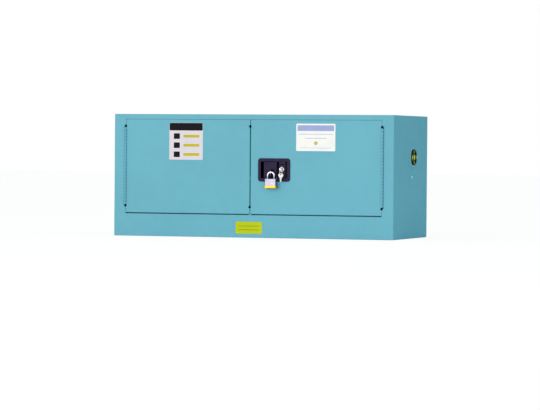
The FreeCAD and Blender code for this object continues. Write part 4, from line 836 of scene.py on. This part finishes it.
@dataclass
class Padlock:
    """Laminated padlock with a gold base, hanging in the handle's eye."""

    x: float = 79
    y: float = -243.5
    case_low: float = 195.2
    case_high: float = 219.2
    width: float = 42
    thick: float = 19
    corner: float = 2.5
    plates: int = 8
    groove: float = 0.3
    base_low: float = 185.2
    base_lap: float = 2.5
    ribs: Flat = (0.36, 0.64)
    rib: float = 0.7
    rod: float = 3.5
    half: float = 12.5
    arch: float = 231.2
    heel: float = 197.2
    toe: float = 212.2
    tip: float = 0.8
    rivet: float = 1.7
    rivet_at: Flat = (17.4, 6.2)

    def plan(self, lap: float, corner: float) -> Form:
        """Returns the padlock's plan grown by a lap."""
        across, along = self.width / 2 + lap, self.thick / 2 + lap * 0.5
        return Form.panel((-across, -along), (across, along), corner, 5)

    def case(self) -> None:
        """Stacks the plates, with rivets and shackle seats on top."""
        pitch = (self.case_high - self.case_low) / self.plates
        stack = self.plan(-self.groove * 1.5, self.corner).raised(self.case_high - self.case_low - 1)
        stack.moved(0, 0, self.case_low + 0.5)
        for layer in range(self.plates):
            sheet = self.plan(0, self.corner).raised(pitch - self.groove).softened(0.45, 2)
            stack.joined(sheet.moved(0, 0, self.case_low + layer * pitch + self.groove / 2))
        top = self.case_high - self.groove / 2
        for across in (-1, 1):
            seat = Form.turned([(self.rod + 0.2, -1), (self.rod + 0.2, 0.14), (self.rod + 1.5, 0.14),
                                (self.rod + 1.9, 0.02)], 40)
            stack.joined(seat.moved(across * self.half, 0, top).coated(1))
            for along in (-1, 1):
                dome = [(self.rivet, -0.2), (self.rivet, 0.1), (self.rivet * 0.72, 0.45), (0, 0.6)]
                place = (across * self.rivet_at[0], along * self.rivet_at[1], top - 0.35)
                stack.joined(Form.turned(dome, 24).moved(*place))
        stack.moved(self.x, self.y, 0)
        stack.piece("PadlockCase", "padlock", PLATES, GASKET, replaces=["padlock_case"])

    def base(self) -> None:
        """Makes the gold base with its two ribs and the keyed plug under it."""
        height = self.case_low - self.base_low
        base = self.plan(self.base_lap, self.corner + 2).raised(height)
        base.softened(1.1, 3).moved(0, 0, self.base_low)
        for level in self.ribs:
            rib = self.plan(self.base_lap, self.corner + 2).raised(self.rib).softened(0.3, 2)
            base.joined(rib.moved(0, 0, self.base_low + level * height - self.rib / 2))
        plug = Form.turned([(0, 0), (7, 0), (7.6, -0.25), (8.2, 0)], 48)
        # Painted shade: the keyway is a thin near-black slab under the plug, for the dark of its slot.
        keyway = Form.panel((-1, -4.2), (1, 4.2), 0.8, 3).raised(-0.3)
        base.joined(plug.moved(0, 0, self.base_low), keyway.coated(1).moved(0, 0, self.base_low))
        base.moved(self.x, self.y, 0)
        base.piece("PadlockBase", "padlock", GOLD, GASKET, replaces=["padlock_base"])

    def shackle(self) -> None:
        """Bends the rod over its arch and draws out its legs to narrowed tips."""
        form = Form()
        ring = bmesh.ops.create_circle(form.bm, cap_ends=False, radius=self.rod, segments=32,
                                       matrix=Matrix.Translation((-self.half, 0, self.arch)))
        rim = list({edge for vert in ring["verts"] for edge in vert.link_edges})
        bent = bmesh.ops.spin(form.bm, geom=ring["verts"] + rim, cent=(0, 0, self.arch), axis=(0, 1, 0),
                              angle=math.pi, steps=32)
        for edges, foot in ((rim, self.heel), (of_kind(bent["geom_last"], BMEdge), self.toe)):
            for level in (foot + self.tip, foot):
                grown = bmesh.ops.extrude_edge_only(form.bm, edges=edges)["geom"]
                verts = of_kind(grown, BMVert)
                edges = [edge for edge in of_kind(grown, BMEdge) if all(vert in verts for vert in edge.verts)]
                for vert in verts:
                    vert.co.z = level
            middle = sum((vert.co for vert in verts), Vector()) / len(verts)
            bmesh.ops.scale(form.bm, vec=(0.8, 0.8, 1), space=Matrix.Translation(-middle), verts=verts)
            bmesh.ops.edgeloop_fill(form.bm, edges=edges)
        bmesh.ops.recalc_face_normals(form.bm, faces=form.bm.faces[:])
        form.moved(self.x, self.y, 0)
        form.piece("PadlockShackle", "shackle", SHACKLE, replaces=["padlock_shackle"])

    def build(self) -> None:
        """Makes the whole padlock."""
        self.case()
        self.base()
        self.shackle()


# Lock and keys


@dataclass
class Lock:
    """Cylinder lock with a key in it and a spare on the ring."""

    x: float = 118
    z: float = 254.2
    bezel: float = 9.5
    face: float = -235.8
    seat: float = -230.8
    barrel: float = 8
    back: float = -205.8
    thread: Flat = (1.0, -0.45)
    plug: float = 6
    keyway: float = 13
    key_y: float = -246.6
    key_thick: float = 1.6
    eye: float = 5
    spare_eye: Flat = (2.3, -3.6)
    blade: float = 24
    ring_z: float = 242.98
    ring: float = 7.2
    wire: float = 0.37
    coil: float = 0.33
    spare_z: float = 231.76
    spare_turn: float = 30

    def cylinder(self) -> None:
        """Turns the barrel with its stepped bezel and threaded body."""
        bore, deep, flange = self.plug + 0.05, self.face - self.back, self.face - self.seat
        profile = [(bore, 0), (7.2, 0), (7.5, -0.35), (7.9, -0.35), (8.2, 0), (8.7, 0),
                   (self.bezel - 0.3, -0.3), (self.bezel, -0.9), (self.bezel, flange + 0.7),
                   (self.bezel - 0.3, flange), (self.barrel, flange)]
        profile += threaded(flange - 0.6, deep + 0.8, self.barrel, *self.thread)
        profile += [(self.barrel, deep + 0.5), (self.barrel - 0.5, deep), (bore, deep)]
        barrel = Form.turned(profile, 56, closed=True)
        barrel.placed(Facing.FRONT.turn((self.x, self.face, self.z)))
        barrel.piece("LockBarrel", "right_door", CHROME, replaces=["lock_barrel"], sharp=30)

    def core(self) -> None:
        """Makes the turning plug with its keyway and the square that carries the cam."""
        deep = self.face - self.back
        slot = [(-1.0, -4.2), (1.0, -4.2), (1.0, 4.2), (-1.0, 4.2)]
        front = Form.outline(circle(self.plug, 7.5), [slot]).raised(-self.keyway).softened(0.12, 1, 60)
        rear = Form.outline(circle(self.plug, 7.5)).raised(deep + self.keyway).moved(0, 0, -self.keyway)
        square = Form.panel((-3, -3), (3, 3), 0.4, 2).raised(-2.3).moved(0, 0, deep + 0.1)
        front.joined(rear, square).placed(Facing.FRONT.turn((self.x, self.face - 0.1, self.z)))
        front.piece("LockPlug", "lock", WORN, replaces=["lock_plug"], sharp=30)

    def key(self, hole: float, hole_at: float) -> Form:
        """Makes a key about its bow, with its blade along +X and its cuts along +Y.

        Args:
            hole: Radius of the hole in its bow.
            hole_at: Place of the hole along the key.

        Returns:
            The key.
        """
        half = self.key_thick / 2
        bow = Form.outline([(-8.5, -4.6), (-8.5, 4.6), (-4.5, 9.4), (0.6, 9.4), (8.6, 4.2), (8.6, -4.2),
                            (0.6, -9.4), (-4.5, -9.4)]).rounded(2.2, 5)
        rim = [tuple(loop.vert.co.xy) for face in bow.bm.faces for loop in face.loops]
        bow.bm.free()
        bow = Form.outline(rim, [circle(hole, 12, (hole_at, 0))]).raised(self.key_thick).moved(0, 0, -half)
        bow.softened(0.3, 2, 50)
        neck = Form.outline([(7.4, -4.4), (10.2, -4.4), (10.2, 4.4), (7.4, 4.4)])
        blade = Form.outline([(8.0, -3.2), (21.5, -3.2), (self.blade, -0.6), (22.5, 1.6), (20, 3), (18, 1.4),
                              (16, 3), (14, 2), (12, 3.2), (8.0, 3.2)])
        for form in (neck, blade):
            bow.joined(form.moved(0, 0, -half).raised(self.key_thick).softened(0.22, 2, 25))
        # Painted shade: each groove is a thin darker strip on the blade, for the shade of a milled groove.
        for low, high, level in ((-1.3, -0.5, half - 0.02), (0.2, 1.0, -half - 0.03)):
            groove = Form.panel((10.2, low), (22, high)).raised(0.05).moved(0, 0, level)
            bow.joined(groove.coated(1))
        return bow

    def keys(self) -> None:
        """Sets one key in the lock and hangs the spare and the ring from its bow."""
        inserted = self.key(self.eye, 0).placed(Facing.RIGHT.turn((self.x, self.key_y, self.z)))
        inserted.piece("KeyInLock", "lock", NICKEL, SPRING, replaces=["lock_key"], sharp=30)
        down = Matrix(((0, 1, 0), (0, 0, -1), (-1, 0, 0))).to_4x4()
        turn = Matrix.Rotation(math.radians(self.spare_turn), 4, "Z")
        place = Matrix.Translation((self.x, self.key_y, self.spare_z))
        spare = self.key(*self.spare_eye).placed(place @ turn @ down)
        spare.piece("SpareKey", "hanging_keys", NICKEL, SPRING, replaces=["spare_key"], sharp=30)
        loop = Form()
        for offset in (-self.coil, self.coil):
            loop.joined(Form.turned(circle(self.wire, 36, (self.ring, offset)), 64, closed=True))
        place = Matrix.Translation((self.x, self.key_y, self.ring_z))
        loop.placed(place @ turn.inverted() @ Facing.FRONT.turn())
        loop.piece("KeyRing", "hanging_keys", NICKEL, replaces=["key_ring"], sharp=60)

    def build(self) -> None:
        """Makes the lock and its keys."""
        self.cylinder()
        self.core()
        self.keys()


# Vents


@dataclass
class Vent:
    """One vent through a side wall: painted collar, thread and bung."""

    label: str
    facing: Facing
    z: float
    y: float = 23
    wall: float = 546
    bore: float = 30.5
    rim: float = 36
    neck: float = 33.5
    face: float = 548.2
    inner: float = 500
    step: float = 28.5
    seat: float = 538.2
    collar_thread: Flat = (1.8, 0.8)
    fit: float = 30.3
    bung_thread: Flat = (1.6, -0.6)
    plug_back: float = 540
    plug_face: float = 555
    dish: float = 549
    dish_edge: float = 25.5
    boss: float = 8.5
    boss_high: float = 4.8
    lug: float = 4
    # Band across the bung's face that takes a painted sheen.
    painted_highlight: Flat = (-11, 9)

    def collar(self) -> None:
        """Turns the collar, threaded inside and rounded at its rim."""
        profile = [(self.bore, self.face - 0.6), (self.bore + 0.6, self.face), (self.rim - 1.2, self.face),
                   (self.rim - 0.4, self.face - 0.3), (self.rim, self.face - 1.0), (self.rim, self.wall),
                   (self.neck, self.wall), (self.neck, self.inner), (self.step, self.inner),
                   (self.step, self.seat), (self.bore, self.seat)]
        profile += threaded(self.seat + 0.8, self.face - 1.2, self.bore, *self.collar_thread)
        collar = Form.turned(profile, 96, closed=True).placed(self.facing.turn((0, self.y, self.z)))
        collar.piece(f"{self.label}VentCollar", "cabinet", COLLAR_HIGHLIGHT,
                     replaces=[f"{self.label.lower()}_vent_collar"], sharp=30)

    def bung(self) -> None:
        """Turns the bung: chamfered rim, dish, boss with its square hole, and two lugs, with painted glints
        and sheen.
        """
        rim = [(0, self.plug_back), (self.fit - 0.6, self.plug_back), (self.fit, self.plug_back + 0.6)]
        rim += threaded(self.plug_back + 1.2, self.plug_face - 1.2, self.fit, *self.bung_thread)
        rim += [(self.fit, self.plug_face - 1), (self.fit - 0.9, self.plug_face),
                (self.dish_edge + 0.5, self.plug_face), (self.dish_edge, self.plug_face - 0.5),
                (self.dish_edge, self.dish + 1.2), (self.dish_edge - 1.2, self.dish), (20, self.dish),
                (15, self.dish), (10, self.dish), (0, self.dish)]
        bung = Form.turned(rim, 96)
        low, high = self.painted_highlight
        for level in (low, -self.lug, self.lug, high):
            bmesh.ops.bisect_plane(bung.bm, geom=bung.bm.verts[:] + bung.bm.edges[:] + bung.bm.faces[:],
                                   plane_co=(0, level, 0), plane_no=(0, 1, 0), dist=NEAR)
        # Painted highlight: a band of sheen across the face, and a bright glint at the rim's middle and on
        # the boss.
        bung.coated(2, lambda at: at.z > self.face and low < at.y < high)
        bung.coated(1, lambda at: at.z > self.plug_face - 1.2 and abs(at.y) < self.lug)
        square = [(-4, -4), (4, -4), (4, 4), (-4, 4)]
        boss = Form.outline(circle(self.boss, 10), [square]).raised(self.boss_high).softened(0.5, 2, 50)
        bung.joined(boss.moved(0, 0, self.dish).coated(1))
        for way in (1, -1):
            low, high = sorted((way * self.dish_edge * 0.55, way * self.dish_edge * 0.985))
            lug = Form.panel((-self.lug, low), (self.lug, high)).raised(self.boss_high + 0.5)
            # The lugs take the painted sheen.
            bung.joined(lug.moved(0, 0, self.dish - 0.5).softened(0.9, 3).coated(2))
        bung.placed(self.facing.turn((0, self.y, self.z)))
        bung.piece(f"{self.label}VentPlug", f"{self.label.lower()}_plug", BUNG, BUNG_PAINTED_GLINT, BUNG_PAINTED_SHEEN,
                   replaces=[f"{self.label.lower()}_vent_plug"], sharp=30)

    def build(self) -> None:
        """Makes the vent's visible pieces."""
        self.collar()
        self.bung()


# Earth screw


@dataclass
class EarthScrew:
    """Hexagon screw with a cross recess and a toothed washer on the right wall."""

    y: float = 8
    z: float = 229
    wall: float = 546
    thick: float = 1.2
    head: float = 4.8
    shank: float = 3
    length: float = 12
    slot: float = 0.55
    reach: float = 2.6
    washer: float = 6.6
    washer_bore: float = 3.1
    tooth: float = 0.9
    teeth: int = 24

    def cross(self) -> List[Flat]:
        """Lists the corners of the cross recess, arm by arm.

        Returns:
            The corners, in order.
        """
        arm = [(-self.slot, -self.reach), (self.slot, -self.reach), (self.slot, -self.slot)]
        corners = []
        for _ in range(4):
            corners += arm
            arm = [(-y, x) for x, y in arm]
        return corners

    def build(self) -> None:
        """Makes screw and washer."""
        place = Facing.RIGHT.turn((self.wall + self.thick, self.y, self.z))
        hexagon = circle(self.head / math.cos(math.radians(30)), 60)
        head = Form.outline(hexagon, [self.cross()]).raised(1.2).softened(0.35, 2, 50).moved(0, 0, 0.6)
        flange = Form.turned([(0, 0), (self.head + 0.6, 0), (self.head + 0.7, 0.3), (self.head - 0.2, 0.9),
                              (0, 0.9)], 40)
        shank = Form.turned([(0, 0), (self.shank, 0), (self.shank, 0.6 - self.length),
                             (self.shank - 0.5, -self.length), (0, -self.length)], 32)
        screw = head.joined(flange, shank).placed(place)
        screw.piece("GroundScrew", "cabinet", EARTH, replaces=["ground_screw"], sharp=30)
        step = 360 / self.teeth
        rings = zip(circle(self.washer - self.tooth, step), circle(self.washer, step))
        rim = [pair[count % 2] for count, pair in enumerate(rings)]
        washer = Form.outline(rim, [circle(self.washer_bore, 20)]).raised(-self.thick).softened(0.15, 1, 40)
        washer.placed(place).piece("GroundWasher", "cabinet", EARTH, replaces=["ground_washer"], sharp=30)


# Labels


@dataclass
class Label:
    """A blank film label on a front: a field with plain printed bands, boxes and rules."""

    name: str
    body: str
    low: Flat
    high: Flat
    field_finish: Print
    prints: Sequence[Tuple[Print, Flat, Flat, float]] = ()
    front: float = -228.5
    film: float = 0.25
    ink: float = 0.05
    corner: float = 4

    def build(self) -> None:
        """Lays the film on the sheet and the printed areas on the film."""
        film = Form.panel(self.low, self.high, self.corner, 6).raised(self.film).softened(0.08, 1, 60)
        finishes = [self.field_finish]
        for finish, low, high, corner in self.prints:
            if finish not in finishes:
                finishes.append(finish)
            area = Form.panel(low, high, corner, 8).raised(self.ink).moved(0, 0, self.film)
            film.joined(area.coated(finishes.index(finish)))
        film.placed(Facing.FRONT.turn((0, self.front, 0)))
        film.piece(self.name, self.body, *finishes)


def labels() -> List[Label]:
    """Lists the three blank labels on the front.

    Returns:
        The labels, on the left door, the right door and the sill.
    """
    dark, lilac = Print("InkBlack", paint(24, 22, 28)), Print("FilmLilac", paint(224, 218, 226))
    mustard, white = Print("InkMustard", paint(196, 186, 48)), Print("FilmWhite", paint(248, 248, 246))
    sky, rule = Print("InkPeriwinkle", paint(163, 174, 220)), Print("InkPaleBlue", paint(188, 198, 228))
    gold, lime = Print("SealGold", paint(206, 190, 96)), Print("FilmLime", paint(196, 208, 24))
    olive = Print("InkOlive", paint(150, 160, 40))
    rows = [(dark, (-326, 396), (-195, 424.2), 3.4)]
    for level in (375, 341, 307):
        rows.append((dark, (-309, level - 10.5), (-285, level + 10.5), 2.5))
        rows.append((mustard, (-271, level - 5), (-208, level + 5), 1.5))
    card = [(sky, (176, 397), (317, 418), 1), (rule, (180, 384), (313, 386.4), 0.5),
            (rule, (205, 369), (288, 371.4), 0.5), (rule, (186, 334), (307, 335.4), 0.3),
            (gold, (240, 345), (254, 359), 6.9)]
    plate = [(olive, (-52, 42), (30, 44.6), 0.5), (olive, (-52, 28), (30, 30.6), 0.5)]
    return [
        Label("LeftDoorLabel", "left_door", (-327, 287), (-194, 425), lilac, rows),
        Label("RightDoorLabel", "right_door", (171, 323), (322, 424), white, card),
        Label("SillLabel", "cabinet", (-62, 15), (40, 59), lime, plate, corner=2),
    ]


# Studio


@dataclass
class Studio:
    """Floor, light and camera. Lamp and floor are in metres, and power in watts."""

    camera_place: Point = (3587.5, -10860.4, 329.7)
    yaw: float = 18.30
    pitch: float = 1.06
    roll: float = 0.466
    focal: float = 3029
    picture: float = 540
    film: float = 36
    ambient: float = 0.71
    ambient_colour: Colour = (0.84, 0.985, 1.0)
    lamp_place: Point = (-2.0, -7.6, 1.5)
    lamp_aim: Point = (0, 0, 0.22)
    lamp_size: float = 4.6
    lamp_power: float = 318
    lamp_colour: Colour = (1.0, 0.80, 0.72)
    floor_reach: float = 30
    floor_tone: float = 0.9
    floor_glow: float = 1.05
    glow_share: float = 0.84

    def seen(self, tree: bpy.types.NodeTree) -> Socket:
        """Marks the rays of the camera, of gloss and of glass.

        Args:
            tree: Node tree of the world or of a material.

        Returns:
            The socket that is 1 for these rays, else 0.
        """
        rays = tree.nodes.new("ShaderNodeLightPath")
        total = rays.outputs["Is Camera Ray"]
        for name in ("Is Glossy Ray", "Is Transmission Ray"):
            total = wired(tree, "Math", {0: total, 1: rays.outputs[name]}, operation="MAXIMUM").outputs[0]
        return total

    def mixed(self, tree: bpy.types.NodeTree, share: Socket, first: Socket, second: Socket, end: str) -> None:
        """Mixes two shaders by a share into the tree's end."""
        mix = wired(tree, "MixShader", {"Fac": share, 1: first, 2: second})
        tree.links.new(mix.outputs[0], tree.nodes[end].inputs["Surface"])

    def world(self) -> None:
        """Lights the object evenly and shows white behind it."""
        world = bpy.data.worlds.new("Studio")
        bpy.context.scene.world = world
        world.use_nodes = True
        tree = world.node_tree
        plain = tree.nodes["Background"]
        plain.inputs["Color"].default_value = (*self.ambient_colour, 1)
        plain.inputs["Strength"].default_value = self.ambient
        white = wired(tree, "Background", {"Color": (1, 1, 1, 1)})
        self.mixed(tree, self.seen(tree), plain.outputs[0], white.outputs[0], "World Output")

    def floor(self) -> None:
        """Lays a plain pale floor that keeps a soft shadow."""
        bm = bmesh.new()
        bmesh.ops.create_grid(bm, x_segments=1, y_segments=1, size=self.floor_reach)
        mesh = bpy.data.meshes.new("Floor")
        bm.to_mesh(mesh)
        bm.free()
        floor = set_up("Floor", mesh)
        coat = bpy.data.materials.new("FloorWhite")
        coat.use_nodes = True
        tree = coat.node_tree
        shader = tree.nodes["Principled BSDF"]
        shader.inputs["Base Color"].default_value = (self.floor_tone, self.floor_tone, self.floor_tone, 1)
        shader.inputs["Roughness"].default_value = 0.9
        glow = wired(tree, "Emission", {"Strength": self.floor_glow})
        share = wired(tree, "Math", {0: self.seen(tree), 1: self.glow_share}, operation="MULTIPLY")
        self.mixed(tree, share.outputs[0], shader.outputs[0], glow.outputs[0], "Material Output")
        mesh.materials.append(coat)

    def lamp(self) -> None:
        """Hangs one soft lamp that faces the cabinet."""
        light = bpy.data.lights.new("Key", "AREA")
        light.shape = "SQUARE"
        light.size = self.lamp_size
        light.energy = self.lamp_power
        light.color = self.lamp_colour
        lamp = set_up("Key", light)
        toward = Vector(self.lamp_aim) - Vector(self.lamp_place)
        lamp.rotation_euler = toward.to_track_quat("-Z", "Y").to_euler()
        lamp.location = self.lamp_place

    def camera(self) -> None:
        """Sets the camera where the photograph was taken from."""
        lens = bpy.data.cameras.new("Camera")
        lens.sensor_fit = "HORIZONTAL"
        lens.sensor_width = self.film
        lens.lens = self.focal * self.film / self.picture
        lens.clip_end = 100
        camera = set_up("Camera", lens)
        camera.matrix_world = Matrix.Translation(Vector(self.camera_place) * MM)
        for angle, axis in ((self.yaw, "Z"), (90 - self.pitch, "X"), (self.roll, "Z")):
            camera.matrix_world @= Matrix.Rotation(math.radians(angle), 4, axis)
        bpy.context.scene.camera = camera

    def build(self) -> None:
        """Sets up floor, light and camera."""
        self.world()
        self.floor()
        self.lamp()
        self.camera()
        bpy.context.scene.view_settings.view_transform = "Standard"


def main() -> None:
    """Builds every sub-assembly in order."""
    logging.basicConfig(level=logging.INFO, format="%(name)s %(message)s")
    Studio().build()
    vents = (Vent("Right", Facing.RIGHT, 303), Vent("Left", Facing.LEFT, 154))
    for part in (*pressings(), Padlock(), Lock(), *vents, EarthScrew(), *labels()):
        part.build()


if __name__ == "__main__":
    main()
